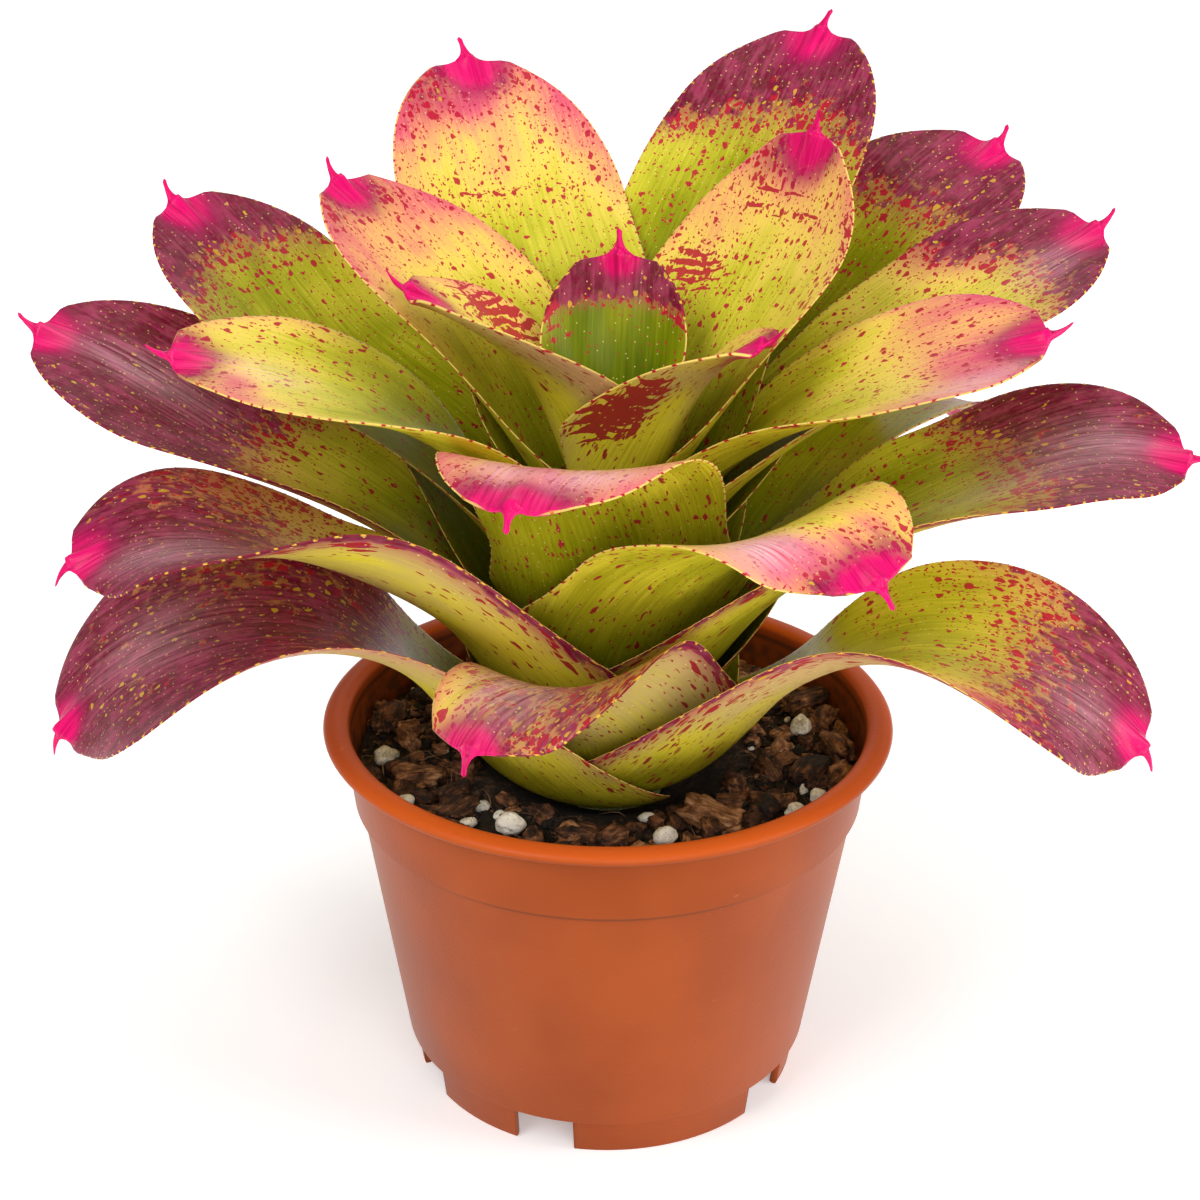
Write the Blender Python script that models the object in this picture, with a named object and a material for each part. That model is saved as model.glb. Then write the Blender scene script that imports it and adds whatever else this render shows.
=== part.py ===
"""Neoregelia bromeliad growing in a round plastic nursery pot.

The origin is on the pot's axis, at the plane its feet stand on. +Z is up and the plant's front
faces -Y. Lengths are in metres, and angles in degrees unless a name says otherwise.
"""
from dataclasses import dataclass
from math import cos, pi, radians, sin

import bmesh
import bpy
import numpy as np
from mathutils import Euler, Matrix, Vector

MM = 0.001
GAP = 0.0003

# Pot: a moulded plastic shell with a rolled lip, a collar and a ring of six feet.
LIP_RADIUS = 0.0750
LIP_ROLL = (0.0034, 0.0019)
LIP_HEIGHT = 0.1023
COLLAR_TOP = (0.0696, 0.1002)
COLLAR_FOOT = (0.0675, 0.0817)
BODY_TOP_RADIUS = 0.0660
BODY_FOOT = (0.0550, 0.0108)
FOOT_TOP_RADIUS = 0.0533
FOOT_RADIUS = 0.0520
FOOT_WALL = 0.0020
WALL = 0.0018
POT_SIDES = 60
NOTCH_AZIMUTHS = (-155, -108, -35, 12, 85, 132)
NOTCH_WIDTH = 0.0160
NOTCH_HEIGHT = 0.0103
NOTCH_CUT_DEPTH = 0.0080
NOTCH_CUT_BELOW = 0.0020
SHOULDER_STEP = 0.0006
COLLAR_LEDGE = 0.0008
FLOOR_BEVEL = (0.0016, 0.0020)
DRAIN_RADIUS = 0.0040
DRAIN_CIRCLE = 0.0360
DRAIN_COUNT = 6

# Potting mix: fills the pot to 13 mm under the rim and dips where the leaves grow out of it.
SOIL_HEIGHT = 0.0908
SOIL_BUMP = 0.0004
SOIL_SIDES = 30
SOIL_RINGS = (0.0600, 0.0520, 0.0440, 0.0380)
SOIL_STEP = 0.0004
SOIL_WALL_GAP = 0.0005
DIP = ((0.0340, 0.0912), (0.0295, 0.0893), (0.0240, 0.0862), (0.0200, 0.0840), (0.0165, 0.0822))
STEM_FOOT = 0.0600
STEM_FOOT_RADIUS = 0.0150
STEM_FOOT_BEVEL = (0.002, 0.004)
STEM_SIDES = 20

# Leaves: each wraps the stem with its sheath and opens into a strap with a hooked point.
LEAF_THICKNESS = 0.0008
LEAF_ROWS = 12
LEAF_COLUMNS = 7
ROW_CROWDING = 1.25
ROUND_END = 0.78
ROUND_END_POWER = 2.1
END_WIDTH = 0.12
POINT_LENGTH = 0.0055
POINT_DROP = 0.0012
SHEATH_HALF_TURN = 88
RISE_RUN = 0.016
STEM_CLEARANCE = 0.0012

# Grains: how far their corners stray from a plain shape, and how a chip narrows at its ends.
PERLITE_LUMPS = (-0.16, 0.08)
PERLITE_FLAT = -0.36
BARK_LUMPS = (-0.14, 0.06)
BARK_BEVEL = 0.17
BARK_NARROWING = 0.44


@dataclass(frozen=True)
class LeafPlan:
    """One leaf: its midrib as (radius, height) in millimetres, and how its blade is shaped.

    heading is the azimuth at the stem and at the point, counter-clockwise from +X. width is across
    the widest blade, waist across the narrow part above the sheath and sheath round the stem, in
    millimetres. rise is the slope of the sheath where it starts. cup is half the angle of the
    blade's arc, near the waist and near the point. roll lifts the counter-clockwise margin, at the
    middle and at the point. lobe lowers the blade beside the point, in millimetres. hug is the
    share of the length that lies round the stem.
    """

    midrib: tuple
    heading: tuple
    width: float
    waist: float
    rise: float
    cup: tuple
    roll: tuple = (0, 0)
    lobe: float = 0
    sheath: float = 96
    hug: float = 0.45


# Outermost first, as they grow up the stem.
LEAVES = (
    LeafPlan(((50, 119), (68, 137), (90, 143), (114, 136), (132, 122), (141, 111)), (214, 191),
             66, 52, 30, (52, 16), (4, -18), 6),
    LeafPlan(((47, 117), (64, 134), (84, 143), (108, 140), (126, 130), (138, 118)), (316, 341),
             64, 48, 34, (56, 16), (0, 16), 6),
    LeafPlan(((48, 129), (68, 143), (86, 141), (95, 128)), (78, 78),
             62, 48, 38, (50, 18), (0, 0), 5),
    LeafPlan(((44, 125), (56, 138), (70, 139), (82, 133)), (292, 247),
             56, 54, 42, (30, 12), (10, 2), 3, 90),
    LeafPlan(((46, 135), (66, 152), (88, 157), (106, 147)), (125, 118),
             62, 48, 46, (50, 18), (0, 0), 4),
    LeafPlan(((46, 139), (66, 158), (90, 168), (114, 168), (134, 160)), (222, 194),
             62, 52, 50, (50, 16), (14, -14), 5),
    LeafPlan(((46, 141), (72, 161), (98, 170), (122, 164), (137, 153)), (35, 40),
             62, 48, 52, (50, 18), (0, 0), 4),
    LeafPlan(((50, 150), (76, 168), (100, 179), (122, 184), (142, 182)), (335, 354),
             64, 56, 56, (46, 18), (4, 12)),
    LeafPlan(((50, 155), (76, 171), (104, 186), (128, 198), (144, 204)), (190, 175),
             66, 52, 58, (46, 18), (-4, -16)),
    LeafPlan(((46, 159), (70, 176), (94, 187), (118, 187), (134, 181)), (146, 140),
             60, 50, 60, (46, 18)),
    LeafPlan(((42, 155.5), (62, 175.5), (80, 184), (98, 177)), (284, 307),
             62, 54, 63, (34, 12), (0, 10), 4),
    LeafPlan(((40, 165), (57, 192), (76, 201), (94, 200)), (276, 257),
             64, 60, 66, (32, 14), (0, 0), 5),
    LeafPlan(((44, 163.5), (62, 175.5), (82, 183), (98, 181), (109, 173)), (66, 60),
             60, 50, 66, (44, 18)),
    LeafPlan(((43, 170.5), (60, 179.5), (80, 190), (104, 208), (128, 225)), (168, 154),
             64, 54, 67.5, (40, 20), (-4, -8)),
    LeafPlan(((38, 176), (56, 194), (80, 206), (107, 213)), (222, 198),
             60, 50, 70, (46, 18), (-4, -12)),
    LeafPlan(((36, 169), (60, 184), (86, 204), (110, 224), (133, 235)), (44, 38),
             64, 52, 71, (36, 18), (0, 14)),
    LeafPlan(((35, 173.5), (57, 191), (82, 206), (106, 219), (125, 228)), (-6, 12),
             64, 52, 72, (40, 20), (4, 12)),
    LeafPlan(((34, 174.5), (52, 188), (72, 197), (86, 198), (95, 192)), (95, 95),
             60, 50, 73, (44, 18), (0, 0), 0, 92),
    LeafPlan(((34, 179.5), (57, 197), (84, 210), (105, 216)), (325, 347),
             64, 52, 74, (46, 18), (4, 14), 0, 92),
    LeafPlan(((35, 186), (54, 207), (69, 223), (84, 238), (98, 252), (110, 263)), (64, 59),
             64, 58, 76, (34, 18), (0, 0), 0, 92),
    LeafPlan(((32, 188), (46, 206), (62, 219), (76, 232), (89, 244), (101, 255)), (118, 113),
             64, 60, 78, (34, 20), (0, 0), 0, 92),
    LeafPlan(((28, 188), (41, 205), (56, 218), (70, 229), (79, 236)), (158, 152),
             64, 60, 78, (40, 22), (0, 0), 0, 90, 0.55),
    LeafPlan(((26, 188), (39, 206), (51, 220), (61, 236), (65, 248)), (26, 38),
             66, 62, 79, (44, 24), (0, 0), 0, 90, 0.55),
    LeafPlan(((15, 178), (23, 196), (34, 208), (44, 214)), (300, 325),
             56, 60, 82, (60, 40), (0, 0), 0, 80, 0.75),
    LeafPlan(((13, 180), (21, 199), (35, 213), (50, 222)), (225, 191),
             60, 60, 83, (70, 40), (0, 0), 0, 80, 0.75),
    LeafPlan(((9, 180), (16, 202), (24, 221)), (85, 85),
             48, 50, 84, (70, 50), (0, 0), 0, 60, 0.75),
)


@dataclass(frozen=True)
class Grain:
    """A loose piece on the potting mix: its place, size in millimetres and turn about +Z."""

    azimuth: float
    radius: float
    size: tuple
    turn: float


# The first seven of the perlite and the first twelve of the bark are those that show from the front.
PERLITE = (
    Grain(-171, 59, (6.0, 5.0, 4.4), 20), Grain(-149, 60, (4.4, 3.6, 3.2), 70),
    Grain(-120, 49, (7.0, 5.6, 5.0), 10), Grain(-74, 51, (6.0, 5.0, 4.2), 40),
    Grain(-36, 59, (5.0, 4.0, 3.6), 0), Grain(-26, 60, (4.6, 4.2, 3.4), 50),
    Grain(10, 53, (6.6, 5.2, 4.6), 80), Grain(58, 56, (6.4, 5.4, 4.6), 15),
    Grain(102, 50, (5.4, 4.6, 4.0), 65), Grain(143, 58, (6.2, 5.0, 4.4), 30),
)
BARK = (
    Grain(167, 61, (11, 7, 4.6), 80), Grain(-160, 52, (10, 6, 4.2), 15),
    Grain(-139, 51, (11, 7, 4.4), 55), Grain(-132, 61, (9, 6, 4.0), -30),
    Grain(-105, 59, (12, 7, 4.6), 5), Grain(-98, 46, (10, 6, 4.2), -20),
    Grain(-84, 58, (9, 6, 4.0), 40), Grain(-62, 60, (11, 6, 4.4), 25),
    Grain(-55, 47, (14, 9, 5.2), -35), Grain(-15, 55, (11, 7, 4.4), 65),
    Grain(-2, 61, (10, 6, 4.2), -75), Grain(24, 60, (11, 6, 4.4), 35),
    Grain(41, 52, (10, 7, 4.4), -25), Grain(78, 57, (12, 7, 4.6), 85),
    Grain(90, 60, (9, 6, 4.0), 5), Grain(120, 56, (12, 7, 4.6), -50),
    Grain(150, 50, (10, 6, 4.2), 60),
)


def material(name, colour, roughness):
    """A plain surface of one colour."""
    made = bpy.data.materials.new(name)
    made.use_nodes = True
    shader = made.node_tree.nodes["Principled BSDF"]
    shader.inputs["Base Color"].default_value = (*colour, 1)
    shader.inputs["Roughness"].default_value = roughness
    shader.inputs["Metallic"].default_value = 0
    return made


def add_object(name, shape, finish, sharp_above=40):
    """Turn a bmesh into a named object, shaded smooth apart from its corners."""
    bmesh.ops.recalc_face_normals(shape, faces=shape.faces)
    mesh = bpy.data.meshes.new(name)
    shape.to_mesh(mesh)
    shape.free()
    mesh.shade_smooth()
    mesh.set_sharp_from_angle(angle=radians(sharp_above))
    made = bpy.data.objects.new(name, mesh)
    made.data.materials.append(finish)
    bpy.context.scene.collection.objects.link(made)
    return made


def arc(centre, radii, first, last, steps):
    """Points on an ellipse from one angle to another."""
    angles = [radians(first + (last - first) * i / steps) for i in range(steps + 1)]
    return [(centre[0] + radii[0] * cos(a), centre[1] + radii[1] * sin(a)) for a in angles]


def turned(profile, sides):
    """Spin a profile of (radius, height) points that starts and ends on the axis."""
    shape = bmesh.new()
    points = [shape.verts.new((radius, 0, height)) for radius, height in profile]
    edges = [shape.edges.new(pair) for pair in zip(points, points[1:])]
    bmesh.ops.spin(shape, geom=points + edges, cent=(0, 0, 0), axis=(0, 0, 1), angle=2 * pi,
                   steps=sides, use_merge=True)
    bmesh.ops.remove_doubles(shape, verts=shape.verts, dist=1e-6)
    return shape


def along(a, b, height):
    """Radius at a height, on the straight line between two (radius, height) points."""
    return a[0] + (b[0] - a[0]) * (height - a[1]) / (b[1] - a[1])


def inner_radius(height):
    """Radius of the pot's inner wall."""
    if height >= COLLAR_FOOT[1]:
        return along(COLLAR_FOOT, COLLAR_TOP, height) - WALL
    return along(BODY_FOOT, (BODY_TOP_RADIUS, COLLAR_FOOT[1]), height) - WALL


def pot():
    """The shell, with notches between its feet and holes in its floor."""
    floor_under = BODY_FOOT[1]
    floor_top = floor_under + WALL
    shoulder = COLLAR_FOOT[1] - SHOULDER_STEP
    outside = [
        (0, floor_under),
        (FOOT_TOP_RADIUS - FOOT_WALL, floor_under),
        (FOOT_RADIUS - FOOT_WALL, 0),
        (FOOT_RADIUS, 0),
        (FOOT_TOP_RADIUS, floor_under),
        BODY_FOOT,
        (BODY_TOP_RADIUS, COLLAR_FOOT[1]),
        COLLAR_FOOT,
        COLLAR_TOP,
    ]
    lip = arc((LIP_RADIUS - LIP_ROLL[0], LIP_HEIGHT), LIP_ROLL, -80, 160, 8)
    inside = [
        (inner_radius(COLLAR_TOP[1]), COLLAR_TOP[1]),
        (inner_radius(COLLAR_FOOT[1]), COLLAR_FOOT[1] + COLLAR_LEDGE),
        (inner_radius(shoulder), shoulder),
        (inner_radius(floor_top), floor_top + FLOOR_BEVEL[1]),
        (inner_radius(floor_top) - FLOOR_BEVEL[0], floor_top),
        (0, floor_top),
    ]
    shell = add_object("pot", turned(outside + lip + inside, POT_SIDES), TERRACOTTA)
    cutter = bmesh.new()
    for azimuth in NOTCH_AZIMUTHS:
        place = (Matrix.Rotation(radians(azimuth), 4, "Z")
                 @ Matrix.Translation((FOOT_RADIUS, 0, (NOTCH_HEIGHT - NOTCH_CUT_BELOW) / 2))
                 @ Matrix.Diagonal((NOTCH_CUT_DEPTH, NOTCH_WIDTH, NOTCH_HEIGHT + NOTCH_CUT_BELOW, 1)))
        bmesh.ops.create_cube(cutter, size=1, matrix=place)
    for i in range(DRAIN_COUNT):
        place = (Matrix.Rotation(2 * pi * (i + 0.5) / DRAIN_COUNT, 4, "Z")
                 @ Matrix.Translation((DRAIN_CIRCLE, 0, floor_under + WALL / 2)))
        bmesh.ops.create_cone(cutter, cap_ends=True, segments=12, radius1=DRAIN_RADIUS,
                              radius2=DRAIN_RADIUS, depth=3 * WALL, matrix=place)
    openings = add_object("pot_openings", cutter, TERRACOTTA)
    openings.hide_render = True
    openings.display_type = "WIRE"
    cut = shell.modifiers.new("openings", "BOOLEAN")
    cut.operation = "DIFFERENCE"
    cut.solver = "EXACT"
    cut.object = openings


def soil_height(x, y):
    """Height of the potting mix outside the plant's dip."""
    wave = sin(x * 210 + 0.6) * cos(y * 190) + 0.6 * sin(y * 330 + x * 120 + 1.1)
    return SOIL_HEIGHT + SOIL_BUMP * wave


def potting_mix():
    """The filling: bumpy on top, dipped round the plant and holding the stem's foot."""
    floor_top = BODY_FOOT[1] + WALL + GAP
    edge = inner_radius(SOIL_HEIGHT) - GAP
    crown = [(radius, SOIL_HEIGHT) for radius in (edge, *SOIL_RINGS)]
    socket = STEM_FOOT_RADIUS + GAP
    shoulder = COLLAR_FOOT[1] - SHOULDER_STEP
    bevel_reach, bevel_height = FLOOR_BEVEL
    profile = [
        (0, floor_top),
        (inner_radius(floor_top) - bevel_reach - 2 * GAP, floor_top),
        (inner_radius(floor_top) - SOIL_WALL_GAP, floor_top + bevel_height + GAP),
        (inner_radius(shoulder) - SOIL_WALL_GAP, shoulder - SOIL_STEP),
        (inner_radius(COLLAR_FOOT[1]) - SOIL_WALL_GAP, COLLAR_FOOT[1] + COLLAR_LEDGE + SOIL_STEP),
        *crown,
        *DIP,
        (socket, DIP[-1][1] - 2 * GAP),
        (socket, STEM_FOOT - GAP),
        (0, STEM_FOOT - GAP),
    ]
    shape = turned(profile, SOIL_SIDES)
    for vertex in shape.verts:
        x, y, z = vertex.co
        if abs(z - SOIL_HEIGHT) < 1e-6:
            vertex.co.z = soil_height(x, y)
    add_object("potting_mix", shape, PEAT)


def stem_point(order):
    """Where a leaf leaves the stem, as (radius, height) in millimetres; order 0 is outermost."""
    low, high = min(order, 15), max(order - 15, 0)
    return 16 - 0.3 * low - 1.0 * high, 84 + 2.3 * low + 2.0 * high


def stem():
    """The short stem that carries the leaves, rooted in the potting mix."""
    bevel_reach, bevel_height = STEM_FOOT_BEVEL
    profile = [
        (0, STEM_FOOT),
        (STEM_FOOT_RADIUS - bevel_reach, STEM_FOOT),
        (STEM_FOOT_RADIUS, STEM_FOOT + bevel_height),
    ]
    for order in (0, 8, 15, 20, len(LEAVES) - 2):
        radius, height = stem_point(order)
        profile.append((radius * MM - STEM_CLEARANCE, height * MM))
    profile.append((0, profile[-1][1] + 0.002))
    add_object("stem", turned(profile, STEM_SIDES), STEM_GREEN)


def smooth(x, low, high):
    """Ease from 0 at low to 1 at high."""
    x = np.clip((x - low) / (high - low), 0, 1)
    return x * x * (3 - 2 * x)


def spline(points, shares):
    """A smooth curve through the points, read at shares of its length; returns points and length."""
    points = np.asarray(points, float)
    steps = np.linalg.norm(np.diff(points, axis=0), axis=1)
    knots = np.concatenate([[0], np.cumsum(steps)])
    count = len(points)
    system = np.eye(count)
    rhs = np.zeros((count, points.shape[1]))
    for i in range(1, count - 1):
        system[i, i - 1:i + 2] = steps[i - 1], 2 * (steps[i - 1] + steps[i]), steps[i]
        rhs[i] = 6 * ((points[i + 1] - points[i]) / steps[i] - (points[i] - points[i - 1]) / steps[i - 1])
    bend = np.linalg.solve(system, rhs)

    def at(x):
        i = np.clip(np.searchsorted(knots, x, side="right") - 1, 0, count - 2)
        h = steps[i][:, None]
        a = (knots[i + 1] - x)[:, None] / h
        b = (x - knots[i])[:, None] / h
        curve = ((a ** 3 - a) * bend[i] + (b ** 3 - b) * bend[i + 1]) * h * h / 6
        return a * points[i] + b * points[i + 1] + curve

    fine = np.linspace(0, knots[-1], 400)
    run = np.concatenate([[0], np.cumsum(np.linalg.norm(np.diff(at(fine), axis=0), axis=1))])
    return at(np.interp(np.asarray(shares) * run[-1], run, fine)), run[-1]


def unit(vectors):
    """Vectors scaled to length 1."""
    return vectors / np.linalg.norm(vectors, axis=-1, keepdims=True)


def leaf_surface(plan, order, rows, columns):
    """The middle of a leaf's thickness, as a grid of points from stem to point, in millimetres."""
    radius, height = stem_point(order)
    rise = radians(plan.rise)
    run = RISE_RUN / MM
    start = ((radius, height), (radius + run * cos(rise), height + run * sin(rise)))
    share = 1 - (1 - np.linspace(0, 1, rows)) ** ROW_CROWDING
    midrib, length = spline(start + plan.midrib, share)
    first, last = plan.heading
    azimuth = np.radians(first + (last - first) * smooth(share, 0.1, 1.0))
    outward = np.stack([np.cos(azimuth), np.sin(azimuth), 0 * azimuth], 1)
    sideways = np.stack([-np.sin(azimuth), np.cos(azimuth), 0 * azimuth], 1)
    middle = outward * midrib[:, :1] + np.array([0, 0, 1]) * midrib[:, 1:]

    ahead = unit(np.gradient(middle, share, axis=0))
    across = unit(sideways - ahead * (sideways * ahead).sum(1)[:, None])
    up = np.cross(ahead, across)
    roll = np.radians(plan.roll[0] * smooth(share, 0.25, 0.6)
                      + (plan.roll[1] - plan.roll[0]) * smooth(share, 0.5, 1.0))[:, None]
    across, up = across * np.cos(roll) + up * np.sin(roll), up * np.cos(roll) - across * np.sin(roll)

    to_waist = smooth(share, 0.10, 0.50)
    to_blade = smooth(share, 0.36, 0.74)
    full = (plan.sheath * (1 - to_waist) + plan.waist * to_waist) * (1 - to_blade) + plan.width * to_blade
    round_end = ROUND_END * plan.width / length
    near_end = np.clip((share - (1 - round_end)) / round_end, 0, 1)
    width = full * np.maximum(np.sqrt(np.clip(1 - near_end ** ROUND_END_POWER, 0, 1)), END_WIDTH)
    width = np.minimum(width, 2 * midrib[:, 0] * radians(SHEATH_HALF_TURN))

    side = np.linspace(-1, 1, columns)[None]
    cup = np.radians(plan.cup[0] + (plan.cup[1] - plan.cup[0]) * smooth(share, 0.42, 0.78))
    trough = (full / (2 * cup))[:, None]
    turn = (width / 2)[:, None] * side / trough
    sag = plan.lobe * smooth(share, 0.72, 1.0)[:, None] * (np.abs(side) * (width / full)[:, None]) ** 2
    lift = trough * (1 - np.cos(turn)) - sag
    blade = (middle[:, None] + across[:, None] * (trough * np.sin(turn))[..., None]
             + up[:, None] * lift[..., None])

    around = azimuth[:, None] + (width / 2)[:, None] * side / midrib[:, :1]
    reach = midrib[:, :1]
    wrapped = np.stack([reach * np.cos(around), reach * np.sin(around), midrib[:, 1:] + 0 * around], -1)
    free = smooth(share, plan.hug * 0.45, plan.hug * 1.35)[:, None, None]
    return wrapped * (1 - free) + blade * free, ahead[-1], up[-1]


def leaf(name, plan, order):
    """A leaf as a thickened sheet that ends in a hooked point."""
    grid, ahead, up = leaf_surface(plan, order, LEAF_ROWS, LEAF_COLUMNS)
    shape = bmesh.new()
    rows = [[shape.verts.new(Vector(point) * MM) for point in row] for row in grid]
    for low, high in zip(rows, rows[1:]):
        for i in range(LEAF_COLUMNS - 1):
            shape.faces.new((low[i], high[i], high[i + 1]))
            shape.faces.new((low[i], high[i + 1], low[i + 1]))
    tip = Vector(grid[-1].mean(axis=0)) * MM + Vector(ahead) * POINT_LENGTH - Vector(up) * POINT_DROP
    point = shape.verts.new(tip)
    for left, right in zip(rows[-1], rows[-1][1:]):
        shape.faces.new((left, point, right))
    sheet = add_object(name, shape, LEAF_GREEN)
    thick = sheet.modifiers.new("thickness", "SOLIDIFY")
    thick.thickness = LEAF_THICKNESS
    thick.offset = 0
    thick.use_even_offset = False


def put_on_soil(made, grain):
    """Rest a loose piece on the highest potting mix under it."""
    azimuth = radians(grain.azimuth)
    x, y = grain.radius * MM * cos(azimuth), grain.radius * MM * sin(azimuth)
    made.rotation_euler = Euler((0, 0, radians(grain.turn)))
    reach = [grain.size[0] * MM * 0.45 * step for step in (-1, -0.5, 0, 0.5, 1)]
    highest = max(soil_height(x + dx, y + dy) for dx in reach for dy in reach)
    made.location = (x, y, highest + GAP)


def perlite(name, grain, chance):
    """A rounded, lumpy grain with a flattened underside."""
    shape = bmesh.new()
    bmesh.ops.create_icosphere(shape, subdivisions=2, radius=0.5)
    for vertex in shape.verts:
        lump = vertex.co * (1 + chance.uniform(*PERLITE_LUMPS))
        size = Vector(grain.size) * MM
        vertex.co = Vector((lump.x * size.x, lump.y * size.y, max(lump.z, PERLITE_FLAT) * size.z))
    lift_to_zero(shape)
    put_on_soil(add_object(name, shape, PERLITE_WHITE, 70), grain)


def bark(name, grain, chance):
    """A broken chip: a bevelled block with uneven corners and a flat underside."""
    shape = bmesh.new()
    bmesh.ops.create_cube(shape, size=1)
    bmesh.ops.bevel(shape, geom=shape.edges[:], offset=BARK_BEVEL, segments=1, affect="EDGES")
    for vertex in shape.verts:
        end = 1 - BARK_NARROWING * abs(vertex.co.x)
        shift = [1 + chance.uniform(*BARK_LUMPS) for _ in range(3)]
        x, y, z = vertex.co
        z = z * shift[2] if z > 0 else z
        vertex.co = Vector((x * shift[0] * grain.size[0], y * shift[1] * grain.size[1] * end,
                            z * grain.size[2])) * MM
    lift_to_zero(shape)
    put_on_soil(add_object(name, shape, BARK_BROWN, 25), grain)


def lift_to_zero(shape):
    """Move a shape so that its lowest point is at height 0."""
    lowest = min(vertex.co.z for vertex in shape.verts)
    for vertex in shape.verts:
        vertex.co.z -= lowest


for old in list(bpy.data.objects):
    bpy.data.objects.remove(old)

TERRACOTTA = material("terracotta_plastic", (0.62, 0.15, 0.045), 0.42)
PEAT = material("peat", (0.022, 0.016, 0.012), 0.95)
STEM_GREEN = material("stem_green", (0.30, 0.34, 0.12), 0.6)
LEAF_GREEN = material("leaf_green", (0.16, 0.26, 0.05), 0.35)
PERLITE_WHITE = material("perlite_white", (0.75, 0.72, 0.64), 0.9)
BARK_BROWN = material("bark_brown", (0.14, 0.075, 0.04), 0.9)

pot()
potting_mix()
stem()
for order, plan in enumerate(LEAVES):
    leaf(f"leaf_{order + 1:02d}", plan, order)
chance = np.random.default_rng(7)
for number, grain in enumerate(PERLITE, 1):
    perlite(f"perlite_{number:02d}", grain, chance)
for number, grain in enumerate(BARK, 1):
    bark(f"bark_{number:02d}", grain, chance)
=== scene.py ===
"""Looks of a neoregelia bromeliad in its nursery pot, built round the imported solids.

Plans hold millimetres, as a grower would note them, and meshes are made in metres. +Z is up and the
plant's front faces -Y.
"""
import logging
from collections.abc import Callable
from dataclasses import dataclass
from enum import Enum
from math import cos, pi, radians, sin

import bmesh
import bpy
import numpy as np
from mathutils import Matrix, Vector, noise


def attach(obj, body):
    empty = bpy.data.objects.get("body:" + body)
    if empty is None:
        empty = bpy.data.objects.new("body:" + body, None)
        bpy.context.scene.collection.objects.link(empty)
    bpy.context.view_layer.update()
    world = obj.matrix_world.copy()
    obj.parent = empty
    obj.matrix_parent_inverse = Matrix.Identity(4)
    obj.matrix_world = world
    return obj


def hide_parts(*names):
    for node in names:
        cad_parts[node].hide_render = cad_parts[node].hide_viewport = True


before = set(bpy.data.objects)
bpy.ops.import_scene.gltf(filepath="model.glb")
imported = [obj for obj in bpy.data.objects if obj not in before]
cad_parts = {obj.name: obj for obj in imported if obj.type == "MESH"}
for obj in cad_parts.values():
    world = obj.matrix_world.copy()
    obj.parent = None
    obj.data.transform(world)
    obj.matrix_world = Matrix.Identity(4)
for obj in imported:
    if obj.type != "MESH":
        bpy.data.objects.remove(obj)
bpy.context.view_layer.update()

LOG = logging.getLogger("neoregelia")
MM = 0.001
ROOT = "root"
Colour = tuple[float, float, float]
Stops = tuple[tuple[float, Colour], ...]
Pair = tuple[float, float]
LoosePiece = tuple[np.ndarray, list, np.ndarray]


def ease(x: np.ndarray, low: float, high: float) -> np.ndarray:
    """Ease from 0 at low to 1 at high.

    Args:
        x: Values to ease.
        low: Where the result starts to rise.
        high: Where the result reaches 1.

    Returns:
        The eased values, from 0 to 1.
    """
    x = np.clip((x - low) / (high - low), 0, 1)
    return x * x * (3 - 2 * x)


def unit(vectors: np.ndarray) -> np.ndarray:
    """Scale vectors, which lie along the last axis, to length 1."""
    return vectors / np.maximum(np.linalg.norm(vectors, axis=-1, keepdims=True), 1e-9)


class Value:
    """A node's output, with arithmetic that adds Math nodes to the same tree."""

    def __init__(self, shader: "Shader", link: bpy.types.NodeSocket) -> None:
        """Keep the tree and the output."""
        self.shader = shader
        self.link = link

    def _math(self, operation: str, *terms: "Value | float") -> "Value":
        """Add one Math node and return its output."""
        made = self.shader.add("Math", {"operation": operation}, dict(enumerate(terms)))
        return made["Value"]

    def __add__(self, other: "Value | float") -> "Value":
        """Sum."""
        return self._math("ADD", self, other)

    def __sub__(self, other: "Value | float") -> "Value":
        """Difference."""
        return self._math("SUBTRACT", self, other)

    def __rsub__(self, other: float) -> "Value":
        """Difference from a number."""
        return self._math("SUBTRACT", other, self)

    def __mul__(self, other: "Value | float") -> "Value":
        """Product."""
        return self._math("MULTIPLY", self, other)

    __radd__ = __add__
    __rmul__ = __mul__

    def __lt__(self, other: "Value | float") -> "Value":
        """Return 1 where this is less than the other, or else 0."""
        return self._math("LESS_THAN", self, other)

    def above(self, other: "Value | float") -> "Value":
        """Return the larger of the two."""
        return self._math("MAXIMUM", self, other)

    def distance_to_half(self) -> "Value":
        """Return 0 midway between whole numbers and 1 at a whole number."""
        return self._math("ABSOLUTE", self._math("FRACT", self) - 0.5) * 2

    def ease(self, low: float, high: float) -> "Value":
        """Ease from 0 at low to 1 at high, or the other way where low is the larger.

        Args:
            low: Value that gives 0.
            high: Value that gives 1.

        Returns:
            The eased value.
        """
        limits = {"Value": self, "From Min": low, "From Max": high}
        return self.shader.add("MapRange", {"interpolation_type": "SMOOTHSTEP"}, limits)["Result"]


class Outputs:
    """The outputs of a node, by name."""

    def __init__(self, shader: "Shader", node: bpy.types.Node) -> None:
        """Keep the node."""
        self.shader = shader
        self.node = node

    def __getitem__(self, name: str | int) -> Value:
        """Return one output."""
        return Value(self.shader, self.node.outputs[name])


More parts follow.
